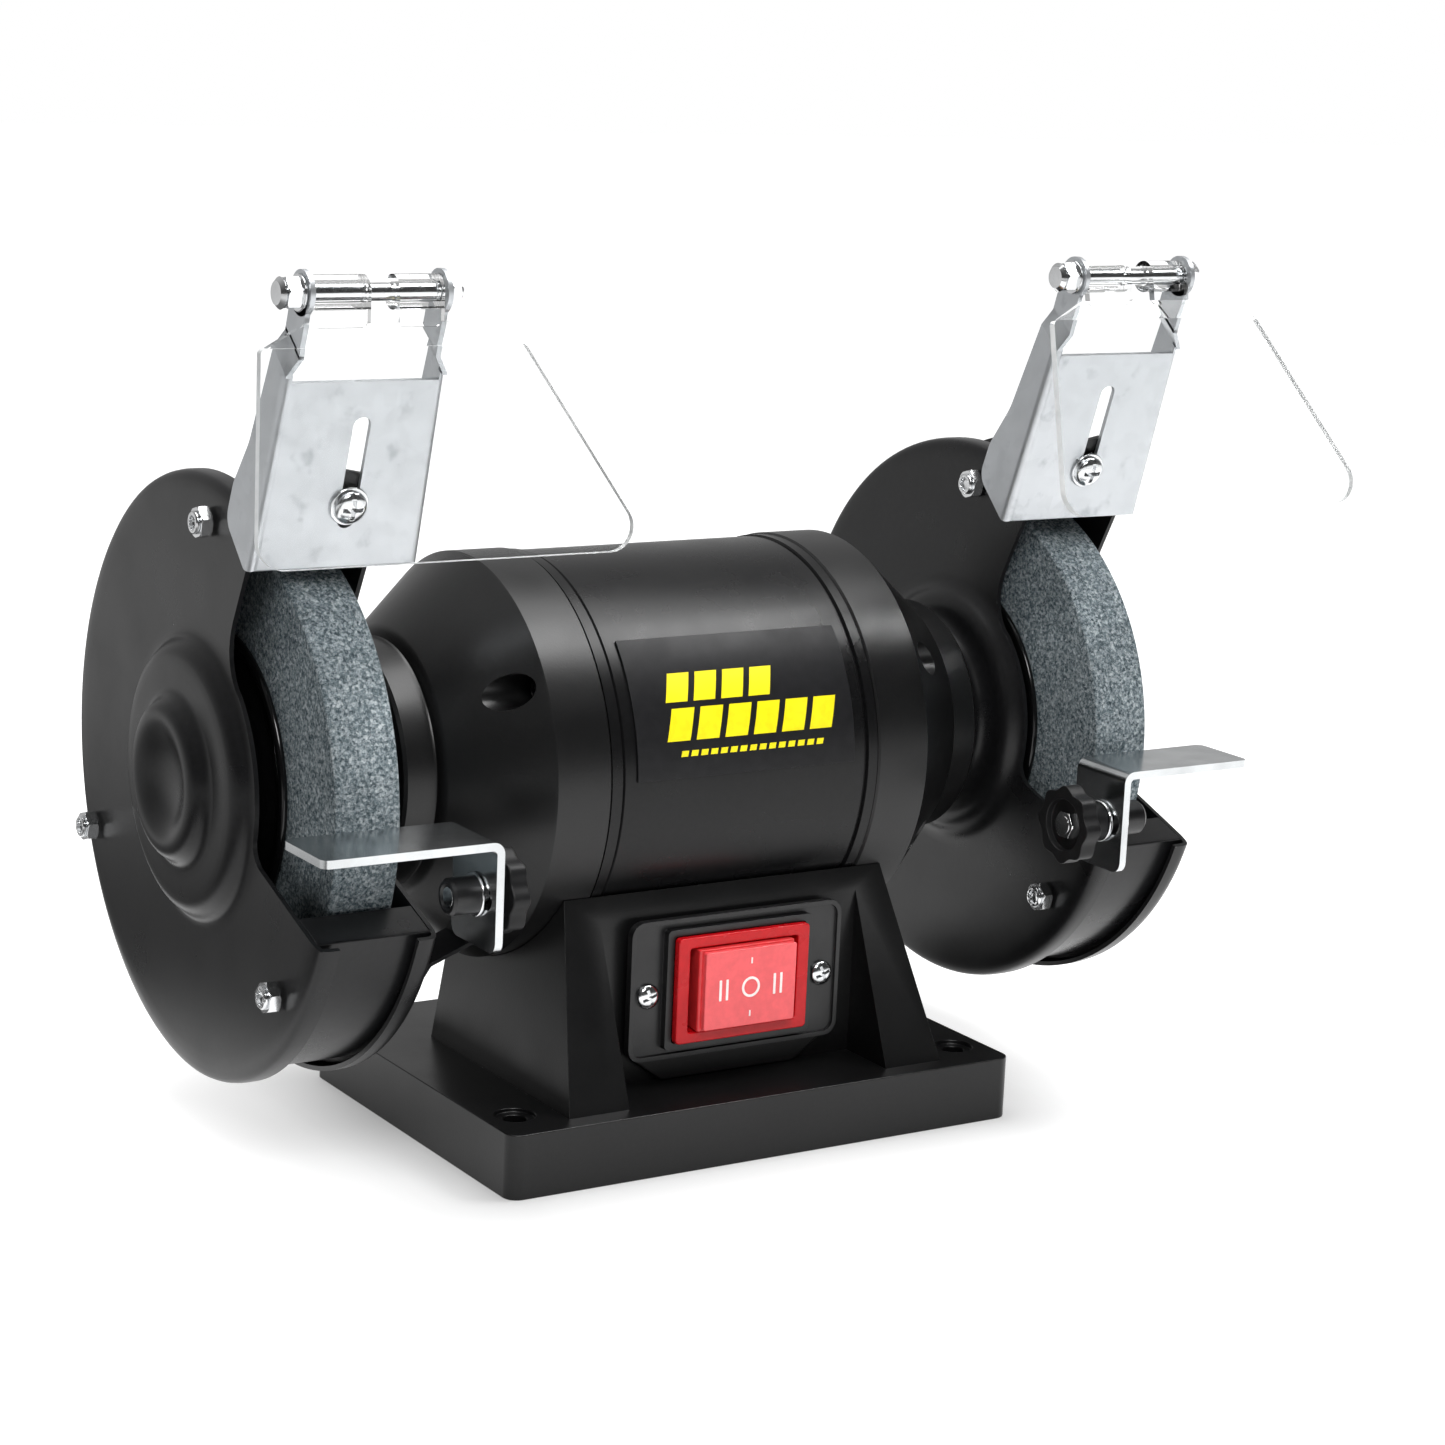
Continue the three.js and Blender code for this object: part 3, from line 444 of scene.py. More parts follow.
ROCKER_RED = moulded("rocker_red", (0.66, 0.03, 0.035), 0.3, 500, 0.01)
COVER_PINK = moulded("cover_pink", (0.8, 0.09, 0.1), 0.12, 500, 0.005)
MARK_WHITE = moulded("mark_white", (0.9, 0.82, 0.8), 0.4, 500, 0.005)
LABEL_GREY = moulded("label_film", (0.009, 0.009, 0.01), 0.4, 900, 0.01, Specular_IOR_Level=0.22)
MARK_YELLOW = moulded("mark_yellow", (0.86, 0.72, 0.0), 0.45, 900, 0.01)

# ---- Shared positions ----
GUARD_Y, GUARD_Z = -3, 1
GUARD_BAND, GUARD_SHEET = 87, 1.4  # the band's outer radius, and the sheet's thickness
MOUTH = (63, -20)  # the guard's opening, in degrees above the horizontal
LEAN = math.radians(18)  # the brackets lean back
BRACKET_SIDE = {"left": (132, 0), "right": (130.8, 2.2)}  # distance from the middle, raise up the lean
SLOT_X = 131
PIVOT_UP, PIVOT_BACK = 82.57, 4.75
PIVOT_HOLE = 2.9
KNOB_Y, KNOB_Z = -92.5, -16.8
SWITCH_Z = -64


def bracket_point(up, back):
    """A point of the leaning bracket in y, z: up its web from the lower edge, back from its face."""
    y = -45 - up * math.sin(LEAN) + back * math.cos(LEAN)
    z = 69 + up * math.cos(LEAN) + back * math.sin(LEAN)
    return y, z


def on_bracket(x, up, back):
    y, z = bracket_point(up, back)
    return x, y, z


def pivot_place(side):
    """The middle of an eye shield's hinge, at its own end of the spindle."""
    centre, rise = BRACKET_SIDE[side]
    return on_bracket(SIDES[side] * centre, PIVOT_UP + rise, PIVOT_BACK)


GUARD_BOLTS = [polar(r, a, GUARD_Y, GUARD_Z) for r, a in ((78, 83), (81, 203), (78, 320))]
MOTOR_SCREWS = [polar(55.5, a) for a in (32, -32, 148, 212)]
ROTOR, FIXED = "rotor", "frame"


def screw_head(radius, height, cross=0.62):
    """A domed head with a cross recess, its axis along +X from x 0."""
    dome = [(0, 0), (radius, 0), (radius, height * 0.25)]
    for k in range(1, 9):
        a = math.pi / 2 * k / 8
        dome.append((radius * math.cos(a), height * (0.25 + 0.75 * math.sin(a))))
    head = lathe(dome, 40)
    arm, half = radius * cross, radius * 0.13
    bottom, above = height * 0.45, height + 1
    return cut(head, box(bottom, above, -arm, arm, -half, half), box(bottom, above, -half, half, -arm, arm))


# ---- Base and pedestal ----
def make_base():
    half_width, half_length, middle, wall = 90.6, 65.3, -19, 3.5
    plate = prism(rounded_box(half_width, half_length, 4.5, 0, middle), FLOOR, BASE_TOP, along_z)
    room = rounded_box(half_width - wall, half_length - wall, 3.5, 0, middle)
    hollow = prism(room, FLOOR - 1, BASE_TOP - wall, along_z)
    bore, sink, sink_floor = 3.5, 6.2, BASE_TOP - 1.2
    drill = [(0, FLOOR - 6), (bore, FLOOR - 6), (bore, sink_floor), (sink, sink_floor),
             (sink, BASE_TOP + 4), (0, BASE_TOP + 4)]
    upright = Matrix.Rotation(-math.pi / 2, 4, "Y")
    holes = []
    for x in (-80, 80):
        for y in (-67, 30):
            holes.append(placed(lathe(drill, 32), Matrix.Translation((x, y, 0)) @ upright))
    piece("base_plate", cut(plate, hollow, *holes), BASE_BLACK, FIXED, ["base"], 1.1, 3)

    foot, above = BASE_TOP - 0.3, -33
    flank = prism([(-67.4, foot), (67.4, foot), (57.2, above), (-57.2, above)], -100, 100, along_y)
    legs = prism([(-77.5, foot), (11, foot), (11, above), (-52, above)], -70, 70, along_x)
    bay = box(-46.6, 46.6, -100, -55.5, BASE_TOP - 0.1, -20)
    rear = prism(rounded_box(48, 20, 3, 0, 16), foot, -39, along_z)
    body = join(cut(combine("INTERSECT", legs, flank), bay), rear)
    barrel = lathe([(0, -200), (63, -200), (63, 200), (0, 200)], 128)
    switch_room = box(-22, 22, -70, -41, SWITCH_Z - 15.3, SWITCH_Z + 15.3)
    piece("pedestal", cut(body, barrel, switch_room), CAST_BLACK, FIXED, (), 1.0, 3)

    chin = [(-24, -93.7, 2), (24, -93.7, 2), (35, -86, 2), (35, -82), (-35, -82), (-35, -86, 2)]
    piece("switch_chin", prism(rounded(chin), -58.5, -55, along_y), BASE_BLACK, FIXED, (), 0.6)


# ---- Motor ----
def make_motor():
    tube = [(59.2, -47.7), (62.3, -47.7), (62.3, -44.4), (61.2, -44), (61.2, -43.5), (61.8, -43)]
    tube += [(61.8, 43), (61.2, 43.5), (61.2, 44), (62.3, 44.4), (62.3, 47.7), (59.2, 47.7)]
    piece("motor_tube", lathe(tube, 160), TUBE_BLACK, FIXED, ["motor_housing"], 0, sharp=24)

    for side, sign in SIDES.items():
        shell = [(59.8, 48), (62.2, 48), (62.8, 48.6), (62.8, 66.4), (62.2, 67.2), (42, 91.6), (40.4, 93),
                 (38.4, 93.6), (38, 94.4), (38, 103), (37.2, 104), (28.6, 104.3), (28, 104.8), (28, 106.5),
                 (27.4, 107.1), (17.2, 107.1), (17.2, 90.5), (34.7, 90.5), (59.8, 66)]
        bell = lathe(shell, 160)
        inside = lathe([(0, 48.5), (62, 48.5), (62, 66), (41, 91.2), (0, 91.2)], 96)
        bosses = merged(*[rod(7.2, 52, 90, y, z, 32) for y, z in MOTOR_SCREWS])
        bell = join(bell, combine("INTERSECT", bosses, inside))
        pocket = [(0, 64), (4.9, 64), (5.3, 64.6), (5.4, 96), (0, 96)]
        pockets = [lathe(pocket, 40, y, z) for y, z in MOTOR_SCREWS]
        piece(f"bell_{side}", cut(bell, *pockets), CAST_BLACK, FIXED, [f"end_bell_{side}"], 0.45, 2,
              30, sign < 0)
        heads = []
        for y, z in MOTOR_SCREWS:
            heads.append(placed(screw_head(3.9, 3), Matrix.Translation((64.2, y, z))))
            heads.append(placed(rod(4.6, 63.8, 64.4, steps=32), Matrix.Translation((0, y, z))))
        nodes = [f"motor_bolt_{i}" for i in (1, 2, 3, 4)] if side == "right" else []
        piece(f"motor_screws_{side}", merged(*heads), DARK_STEEL, FIXED, nodes, 0, mirror=sign < 0)


def curved_patch(corners, inner, outer, steps=10):
    """A thin patch on the tube from four x, degrees corners, bottom left first and anticlockwise."""
    bm = bmesh.new()
    (ax, aa), (bx, ba), (cx, ca), (dx, da) = corners
    layers = []
    for radius in (inner, outer):
        rows = []
        for k in range(steps + 1):
            t = k / steps
            left = (ax + (dx - ax) * t, aa + (da - aa) * t)
            right = (bx + (cx - bx) * t, ba + (ca - ba) * t)
            rows.append([bm.verts.new((x, *polar(radius, a))) for x, a in (left, right)])
        layers.append(rows)
    low, high = layers
    for k in range(steps):
        for rows in layers:
            bm.faces.new((rows[k][0], rows[k][1], rows[k + 1][1], rows[k + 1][0]))
        for s in (0, 1):
            bm.faces.new((low[k][s], low[k + 1][s], high[k + 1][s], high[k][s]))
    for k in (0, steps):
        bm.faces.new((low[k][0], high[k][0], high[k][1], low[k][1]))
    bmesh.ops.recalc_face_normals(bm, faces=bm.faces)
    return bm


def make_label():
    film = curved_patch([(-39, 2), (39, 2), (39, 42.5), (-39, 42.5)], 61.9, 62.5, 24)
    piece("label", film, LABEL_GREY, FIXED, ["label_plate"], 0.15, sharp=30)
    slant = 0.28
    mm_per_degree = 1.08
    rows = [
        (23.2, 31.4, -27.5, 9.5, 4, 2.2),
        (12.4, 21.4, -28.5, 30.5, 6, 2.2),
        (8.0, 9.6, -24, 27, 15, 1.1),
    ]
    bars = []
    for low, high, start, end, count, gap in rows:  # degrees, then millimetres along the tube
        width = (end - start - gap * (count - 1)) / count
        lean = slant * (high - low) * mm_per_degree
        for k in range(count):
            x = start + k * (width + gap)
            corners = [(x, low), (x + width, low), (x + width + lean, high), (x + lean, high)]
            bars.append(curved_patch(corners, 62.45, 62.58, 6))
    piece("label_bars", merged(*bars), MARK_YELLOW, FIXED, (), 0, sharp=30)


# ---- Spindle ----
def make_wheel(side, sign):
    near, far, radius, bore, arris = 124.2, 144.2, 75, 6.7, 0.7
    wheel = [(bore, near), (radius - arris, near), (radius, near + arris)]
    wheel += [(radius, far - arris), (radius - arris, far), (bore, far)]
    made = piece(f"grinding_wheel_{side}", lathe(wheel, 192), GRIT, ROTOR, [f"wheel_{side}"], sharp=60,
                 mirror=sign < 0)
    # The flat sides take the darker grit, which is painted shade; the grinding face keeps the plain grit.
    made.data.materials.append(GRIT_SIDE_PAINTED_SHADE)
    for face in made.data.polygons:
        face.material_index = 1 if abs(face.normal.x) > 0.9 else 0
    section = [(bore, 1.2), (28, 1.2), (32, 0.3), (43.6, 0.3), (44.7, 0.7), (45, 1.5), (44.6, 2.3),
               (43.4, 2.7), (41.8, 2.3), (40.4, 1.7), (38.4, 2.0), (36, 2.7), (32, 3.6), (28, 4.1),
               (bore, 4.1)]
    for name, face, way in (("inner", near, -1), ("outer", far, 1)):
        flange = lathe([(r, face + way * x) for r, x in section], 128)
        piece(f"{name}_clamp_flange_{side}", flange, GLOSS_BLACK, ROTOR, [f"{name}_flange_{side}"], 0,
              sharp=50, mirror=sign < 0)
    nut = join(hexagon(10.5, 148.8, 155.4), rod(9.4, 155, 156))
    nut = cut(nut, rod(6.6, 140, 170))
    piece(f"wheel_nut_{side}", nut, STEEL, ROTOR, [f"spindle_nut_{side}"], 0.2, mirror=sign < 0)


# ---- Guards ----
def mouth_tool():
    """What is taken out of a guard's plates where the wheel is left open to the operator."""
    top, bottom = MOUTH
    inner = 43.2
    points = []

    def bend(first, corner, last):
        for k in range(9):
            t = k / 8
            u = (1 - t) ** 2 * first[0] + 2 * t * (1 - t) * corner[0] + t * t * last[0]
            v = (1 - t) ** 2 * first[1] + 2 * t * (1 - t) * corner[1] + t * t * last[1]
            points.append((u, v))

    def at(radius, degrees):
        return polar(radius, degrees, GUARD_Y, GUARD_Z)

    points += [at(125, a) for a in (40, 20, 0)]
    points.append(at(125, bottom))
    bend(at(inner + 7, bottom), at(inner, bottom), at(inner, bottom + 9))
    points += [at(inner, a) for a in range(bottom + 13, top - 20, 4)]
    bend(at(inner, top - 19), at(inner, top), at(inner + 15, top))
    points.append(at(125, top))
    return prism(points, 90, 190, along_x)


def make_guard(side, sign):
    flip = sign < 0
    dome = [(0, 161.9), (6, 162.1), (10.5, 163.2), (14.5, 165.2), (17.5, 166.3), (20, 166.4),
            (22.4, 165.6), (24.2, 163), (25.6, 161.6), (28, 161.3), (35.5, 161.1), (38.4, 160.3),
            (40.3, 158.4), (41.6, 156.3), (43.4, 155.6), (48, 155.5)]
    dome += [(80, 155.5), (86.5, 155.4), (89.6, 154.6), (90.5, 152.6), (90.5, 148.6)]
    outer = lathe(thickened(softened(dome, 1), GUARD_SHEET), 160, GUARD_Y, GUARD_Z)
    piece(f"guard_cover_{side}", cut(outer, mouth_tool()), GUARD_BLACK, FIXED,
          [f"guard_outer_plate_{side}"], 0.3, 2, 50, flip)

    boss = [(90.5, 124.4), (90.5, 120.4), (89.6, 118.3), (86.5, 117.5), (80, 117.4), (48, 117.4)]
    boss += [(44, 117.2), (41.3, 115.9), (38.8, 113.2), (36, 112.1), (32.5, 111.8), (30.2, 110.6),
             (28.4, 108.3), (25.5, 107.4), (14.2, 107.4)]
    inner = lathe(thickened(softened(boss), GUARD_SHEET), 144, GUARD_Y, GUARD_Z)
    piece(f"guard_back_{side}", cut(inner, mouth_tool()), GUARD_BLACK, FIXED,
          [f"guard_inner_plate_{side}"], 0.3, 2, 50, flip)

    arc = []
    first, last = MOUTH[1], MOUTH[0] - 1.5 - 360
    steps = 96
    for start, end, radius in ((first, last, GUARD_BAND), (last, first, GUARD_BAND - GUARD_SHEET)):
        for k in range(steps + 1):
            arc.append(polar(radius, start + (end - start) * k / steps, GUARD_Y, GUARD_Z))
    near, far = 119, 154
    band = prism(arc, near, far, along_x)
    tab = prism([(-12, 7.5), (12, 7.5), (12, 24), (4, 30.5), (-12, 27)], 1.8, 3.4, lambda x, up, back:
                on_bracket(SLOT_X + x, up, back))
    ledge = 73.8  # the radius that the fold below the wheel reaches in to
    fold = ((ledge, first), (GUARD_BAND, first), (GUARD_BAND, first - 0.95), (ledge, first - 1.15))
    lip = prism([polar(r, a, GUARD_Y, GUARD_Z) for r, a in fold], near, far, along_x)
    piece(f"guard_skirt_{side}", merged(band, tab, lip), GUARD_BLACK, FIXED, [f"guard_band_{side}"], 0.25,
          2, 50, flip)

    bolts = []
    for y, z in GUARD_BOLTS:
        for base, way in ((155.5, 1), (117.4, -1)):
            washer = rod(5.6, 0, 0.9, edge=0.25)
            nut = hexagon(4.9, 0.9, 4.4, turn=17)
            end = rod(3.4, 4.2, 5.6, edge=0.4)
            head = cut(merged(washer, nut, end), rod(2.1, 4.6, 8))
            move = Matrix.Translation((base, y, z)) @ Matrix.Scale(way, 4, (1, 0, 0))
            bolts.append(placed(head, move))
    nodes = [f"guard_bolt_{side}_{i}" for i in (1, 2, 3)]
    piece(f"guard_bolts_{side}", merged(*bolts), STEEL, FIXED, nodes, 0.12, 2, 35, flip)


# ---- Eye shields and their brackets ----
def sheared(bm, row, column, factor):
    matrix = Matrix.Identity(4)
    matrix[row][column] = factor
    return placed(bm, matrix)


def make_bracket(side, sign):
    """Drawn upright from the foot of its web, with x across, y back and z up the web."""
    flip = sign < 0
    centre, rise = BRACKET_SIDE[side]
    half, flare, sheet, height, depth = 24.6, 2.2, 1.5, 58, 10.4
    ear, low, high, skew = 21.6, 60, 65, 4.4
    inner = half - sheet
    channel = rounded([(-half, 0, 2.8), (half, 0, 2.8), (half, 20), (inner, 20), (inner, sheet, 1.3),
                       (-inner, sheet, 1.3), (-inner, 20), (-half, 20)])
    view = rounded([(0, 0, 1), (2, 0, 2), (18.2, 7.6, 6), (18, 19.4, 9), (13.4, 34, 20),
                    (depth, low + skew), (0, low)])
    body = combine("INTERSECT", prism(channel, -1, low + 9, along_z), prism(view, -40, 40, along_x))
    body = cut(body, box(-half + 2.2, half - 2.2, -9, 4, height, 90))
    for vertex in body.verts:
        vertex.co.x *= 1 + flare / half * max(0, 1 - vertex.co.z / low)
    arms = []
    for way in (-1, 1):
        path = [(inner, low - 0.6), (half, low - 0.6), (half, low), (ear, high), (ear, high + 1),
                (ear - sheet, high + 1), (ear - sheet, high), (inner, low)]
        step = sheared(prism([(way * x, z) for x, z in path], 0, depth, along_y), 2, 1, skew / depth)
        neck = rounded([(0, high, 0), (depth, high + skew, 0), (depth, PIVOT_UP - 1), (0, PIVOT_UP - 1)])
        x0, x1 = sorted((way * (ear - sheet), way * ear))
        arms += [step, prism(neck, x0, x1, along_x), rod(6.4, x0, x1, PIVOT_BACK, PIVOT_UP, 48)]
    slot = prism(stadium(SLOT_X - centre, 15.5, 44.5, 2.7), -5, 6, along_y)
    body = cut(join(body, *arms), slot, rod(PIVOT_HOLE, -60, 60, PIVOT_BACK, PIVOT_UP))
    leaning = Matrix.Rotation(LEAN, 4, "X")
    placed(body, Matrix.Translation(on_bracket(centre, rise, 0)) @ leaning)
    piece(f"bracket_{side}", body, ZINC, f"bracket_{side}", [f"shield_bracket_{side}"], 0.22, 2, 35, flip)

    turn = Matrix.Translation(on_bracket(SLOT_X, 20, 0)) @ leaning @ Matrix.Rotation(-math.pi / 2, 4, "Z")
    head = placed(screw_head(5, 3), Matrix.Translation((0.9, 0, 0)))
    washer, stem, nut = rod(5.9, 0.05, 0.95, edge=0.2), rod(2.2, -12, 0.5), hexagon(4.4, -8.4, -5.2)
    clamp = placed(merged(head, washer, stem, nut), turn)
    piece(f"bracket_clamp_{side}", clamp, STEEL, FIXED, [f"bracket_screw_{side}"], 0.1, 2, 35, flip)

    parts = [rod(2.55, -27, 27, edge=0.4), rod(5.2, -22.7, -21.7, edge=0.25),
             hexagon(4.8, -27, -22.7, turn=11), rod(4.5, -29, -26.6, edge=1.2),
             rod(5.0, 21.7, 22.5, edge=0.25), hexagon(4.7, 22.5, 25.4, turn=20)]
    pivot = placed(merged(*parts), Matrix.Translation(pivot_place(side)))
    piece(f"pivot_{side}", pivot, STEEL, f"bracket_{side}", [f"pivot_bolt_{side}"], 0.12, 2, 35)


def hull_block(lower, upper):
    """A solid between two quads given in the same order."""
    bm = bmesh.new()
    a = [bm.verts.new(p) for p in lower]
    b = [bm.verts.new(p) for p in upper]
    bm.faces.new(a)
    bm.faces.new(b[::-1])
    for i in range(4):
        k = (i + 1) % 4
        bm.faces.new((a[i], b[i], b[k], a[k]))
    bmesh.ops.recalc_face_normals(bm, faces=bm.faces)
    return bm


SHIELD_TILT = {"left": 0, "right": 12}  # degrees forward


def make_shield(side):
    """Drawn about its pivot, hanging straight down, the same way round at both ends."""
    pane = rounded([(-37, -14, 1.5), (-37, -74.4, 8.5), (87.5, -74.4, 7), (43.5, -14, 2)], 10)
    sheet = prism(pane, -8.5, -6, along_y)
    back, front = -8, -14.6
    lip = hull_block([(-22, -4.8, back), (22, -4.8, back), (22, -2.4, back), (-22, -2.4, back)],
                     [(-36.4, -8.4, front), (42.6, -8.4, front), (41.2, -6.1, front), (-36.4, -6.1, front)])
    parts = [lip]
    for x0, x1 in ((-19.7, -2.8), (5.9, 19.7)):
        tab = rounded([(x0, -0.5), (x1, -0.5), (x1, -9.5, 2), (x0, -9.5, 2)])
        parts.append(prism(tab, -4.8, -2.4, along_y))
        parts.append(rod(4.9, x0, x1, steps=48))
    whole = cut(join(sheet, *parts), rod(PIVOT_HOLE, -60, 60, steps=48))
    tilt = Matrix.Rotation(-math.radians(SHIELD_TILT[side]), 4, "X")
    placed(whole, Matrix.Translation(pivot_place(side)) @ tilt)
    made = piece(f"shield_pane_{side}", whole, CLEAR, f"shield_{side}", [f"eye_shield_{side}"], 0.3, 2, 40)
    made.data.materials.append(CLEAR_EDGE)
    pane_top = (pivot_place(side)[2] - 13.5 + SPINDLE_HEIGHT) * MM
    for face in made.data.polygons:
        flat = abs(face.normal.y) > 0.75 and face.area > 40 * MM * MM
        face.material_index = 0 if flat or face.center.z > pane_top else 1


# ---- Tool rests ----
# Inner and outer end, front and back of each rest.
REST_SIDE = {"left": (106.7, 162.3, -104.3, -78.3), "right": (113.6, 163.6, -103, -79)}


def make_rest(side, sign):
    flip = sign < 0
    inner, outer, front, back = REST_SIDE[side]
    top, foot, sheet = 0.8, -31.8, 2.4
    section = rounded([(inner, foot), (inner + sheet, foot), (inner + sheet, top - sheet, 1.4),
                       (outer, top - sheet), (outer, top), (inner, top, 3.6)], 7)
    bent = prism(section, front, back, along_y)
    plate_outline = rounded([(90, back, 0), (90, front, 0), (outer, front, 2.5), (outer, back, 2.5)])
    keep_plate = prism(plate_outline, -4, 4, along_z)
    flange_outline = rounded([(front, 4), (front, foot, 3.5), (back, foot, 3.5), (back, 4)])
    keep_flange = prism(flange_outline, inner - 5, inner + 4.4, along_x)
    keep = join(keep_plate, combine("INTERSECT", keep_flange, box(90, 120, -110, -70, -40, -2)))
    slot = [(KNOB_Y + v, KNOB_Z + u) for u, v in stadium(0, -6, 6, 3.3)]
    angle = cut(combine("INTERSECT", bent, keep), prism(slot, inner - 5, inner + 5, along_x))
    piece(f"rest_{side}", angle, REST_ZINC, f"rest_{side}", [f"tool_rest_{side}"], 0.28, 2, 40, flip)


def make_clamp(side, sign):
    """The knob, stud, washers and nut that hold a rest to its strap."""
    flip = sign < 0
    near = 103.8  # the knob's outboard face
    inboard, outboard = (104.1, 109.1) if side == "left" else (113.6, 118.6)  # of the clamped sheets
    at_slot = Matrix.Translation((0, KNOB_Y, KNOB_Z))
    disc = []
    lobes, steps = 8, 96
    for k in range(steps):
        a = 2 * math.pi * k / steps
        reach = 11.8 + 0.7 * math.cos(lobes * a)
        disc.append((reach * math.cos(a), reach * math.sin(a)))
    grip = prism(disc, near - 5.6, near, along_x)
    dish = lathe([(0, near - 6), (8.4, near - 6), (8.0, near - 3.6), (0, near - 3.6)], 48)
    parts = [cut(grip, dish)]
    bright = [hexagon(4.6, near - 5.2, near - 3), rod(2.9, near - 5.4, outboard + 9),
              rod(6.4, outboard + 0.3, outboard + 1.2, edge=0.25)]
    if side == "right":
        parts.append(lathe([(0, near - 0.6), (7.4, near - 0.6), (7, near + 0.6), (6.2, near + 1.4),
                            (6.2, inboard - 2), (5.8, inboard - 1.6), (0, inboard - 1.6)], 48))
        bright.append(rod(6.6, inboard - 1.6, inboard - 0.3, edge=0.3))
    knob = placed(merged(*parts), at_slot)
    piece(f"knob_{side}", knob, RUBBER_BLACK, f"clamp_{side}", [f"rest_knob_{side}"], 0.6, 3, 40, flip)
    washers = placed(merged(*bright), at_slot)
    piece(f"clamp_washers_{side}", washers, STEEL, f"clamp_{side}", (), 0.1, 2, 35, flip)

    end = outboard + 9.4
    cap = lathe([(3.1, outboard + 1.2), (5.4, outboard + 1.2), (5.4, end - 0.9), (4.7, end), (3.8, end),
                 (3.1, end - 0.9)], 40)
    piece(f"clamp_nut_{side}", placed(cap, at_slot), PLASTIC_BLACK, f"clamp_{side}", [f"rest_nut_{side}"], 0,
          sharp=35, mirror=flip)


# ---- Switch ----
def make_switch():
    plate = prism(rounded_box(38, 22, 4.5, 0, SWITCH_Z), -60, -58.3, along_y)
    border = cut(prism(rounded_box(38, 22, 4.5, 0, SWITCH_Z), -61, -59.5, along_y),
                 prism(rounded_box(36.6, 20.6, 3.4, 0, SWITCH_Z), -62, -59, along_y))
    ring = cut(prism(rounded_box(26.2, 19, 1.6, 0, SWITCH_Z), -62.6, -59.5, along_y),
               prism(rounded_box(23.9, 16.9, 1.2, 0, SWITCH_Z), -64, -59, along_y))
    housing = join(plate, border, ring)
    opening = box(-21.8, 21.8, -70, -50, SWITCH_Z - 15, SWITCH_Z + 15)
    screw_x, screw_z = 31.5, -65.5
    facing_back = Matrix.Rotation(math.pi / 2, 4, "Z")
    facing_front = Matrix.Rotation(-math.pi / 2, 4, "Z")
    pits = []
    for x in (-screw_x, screw_x):
        pit = lathe([(0, 0), (1.7, 0), (1.7, 20), (0, 20)], 24)
        pits.append(placed(pit, Matrix.Translation((x, -70, screw_z)) @ facing_back))
    panel = cut(housing, opening, *pits)
    piece("switch_panel", panel, PLASTIC_BLACK, FIXED, ["switch_housing"], 0.35, 2, 35)

    bezel = prism(rounded_box(23.7, 16.7, 1.4, 0, SWITCH_Z), -65, -62.3, along_y)
    inner = prism([(-21.4, SWITCH_Z - 14.6), (21.4, SWITCH_Z - 14.6), (21.4, SWITCH_Z + 14.6),
                   (-21.4, SWITCH_Z + 14.6)], -62.6, -42, along_y)
    well = prism(rounded_box(19.5, 13.3, 0.8, 0, SWITCH_Z), -70, -50, along_y)
    piece("switch_bezel", cut(join(bezel, inner), well), SWITCH_RED, FIXED, ["switch_body"], 0.45, 3, 35)

    low, high = SWITCH_Z - 12.9, SWITCH_Z + 12.9
    shape = rounded([(-17.3, -66.7, 0.8), (17.3, -66.7, 0.8), (15.8, -57, 1), (0, -52, 2), (-15.8, -57, 1)])
    rocker = prism(shape, low, high, along_z)
    piece("rocker_body", rocker, ROCKER_RED, "rocker", ["switch_rocker"], 0.4, 3, 35)
    cap = prism(rounded_box(16.4, 12.3, 0.8, 0.4, SWITCH_Z), -68.5, -66.4, along_y)
    piece("rocker_cap", cap, COVER_PINK, "rocker", (), 0.35, 3, 35)

    marks = []
    face, depth = -68.62, -68.3
    for x in (-9.4, 10.2):
        for dx in (-1.2, 1.2):
            bar = rounded_box(0.42, 3.3, 0.2, x + dx, SWITCH_Z)
            marks.append(prism(bar, face, depth, along_y))
    ring = lathe([(2.45, 0), (3.25, 0), (3.25, depth - face), (2.45, depth - face)], 48)
    marks.append(placed(ring, Matrix.Translation((0.4, face, SWITCH_Z)) @ facing_back))
    for z in (-8.4, 8.4):
        marks.append(prism(rounded_box(0.25, 0.95, 0.1, 0.4, SWITCH_Z + z), face, depth, along_y))
    piece("rocker_marks", merged(*marks), MARK_WHITE, "rocker", (), 0, sharp=35)

    for side, sign in SIDES.items():
        turn = Matrix.Translation((screw_x, -60, screw_z)) @ facing_front
        spin = Matrix.Rotation(math.radians(20 * sign), 4, "X")
        parts = [placed(screw_head(3.9, 2.2, 0.66), turn @ Matrix.Translation((0.15, 0, 0)) @ spin),
                 placed(rod(1.4, -4, 0.3), turn)]
        piece(f"panel_screw_{side}", merged(*parts), STEEL, FIXED, [f"switch_screw_{side}"], 0, sharp=35,
              mirror=sign < 0)


# ---- Back of the base ----
def make_gland():
    body = [(3.6, 0.3), (11, 0.3), (11, 4.6), (10.2, 5.4), (8.4, 6), (7.6, 8)]
    for k in range(4):
        body += [(7.2 - 0.25 * k, 8.6 + 2 * k), (6.4 - 0.2 * k, 9.2 + 2 * k), (6.4 - 0.2 * k, 10 + 2 * k)]
    body += [(6.2, 16.3), (3.6, 16.3)]
    turn = Matrix.Translation((28, 36, -80)) @ Matrix.Rotation(math.pi / 2, 4, "Z")
    shank = lathe([(3.6, -9), (7.8, -9), (7.8, 0.6), (3.6, 0.6)], 40)
    piece("gland", placed(merged(lathe(body, 48), shank), turn), PLASTIC_BLACK, FIXED, ["cable_gland"], 0,
          sharp=30)


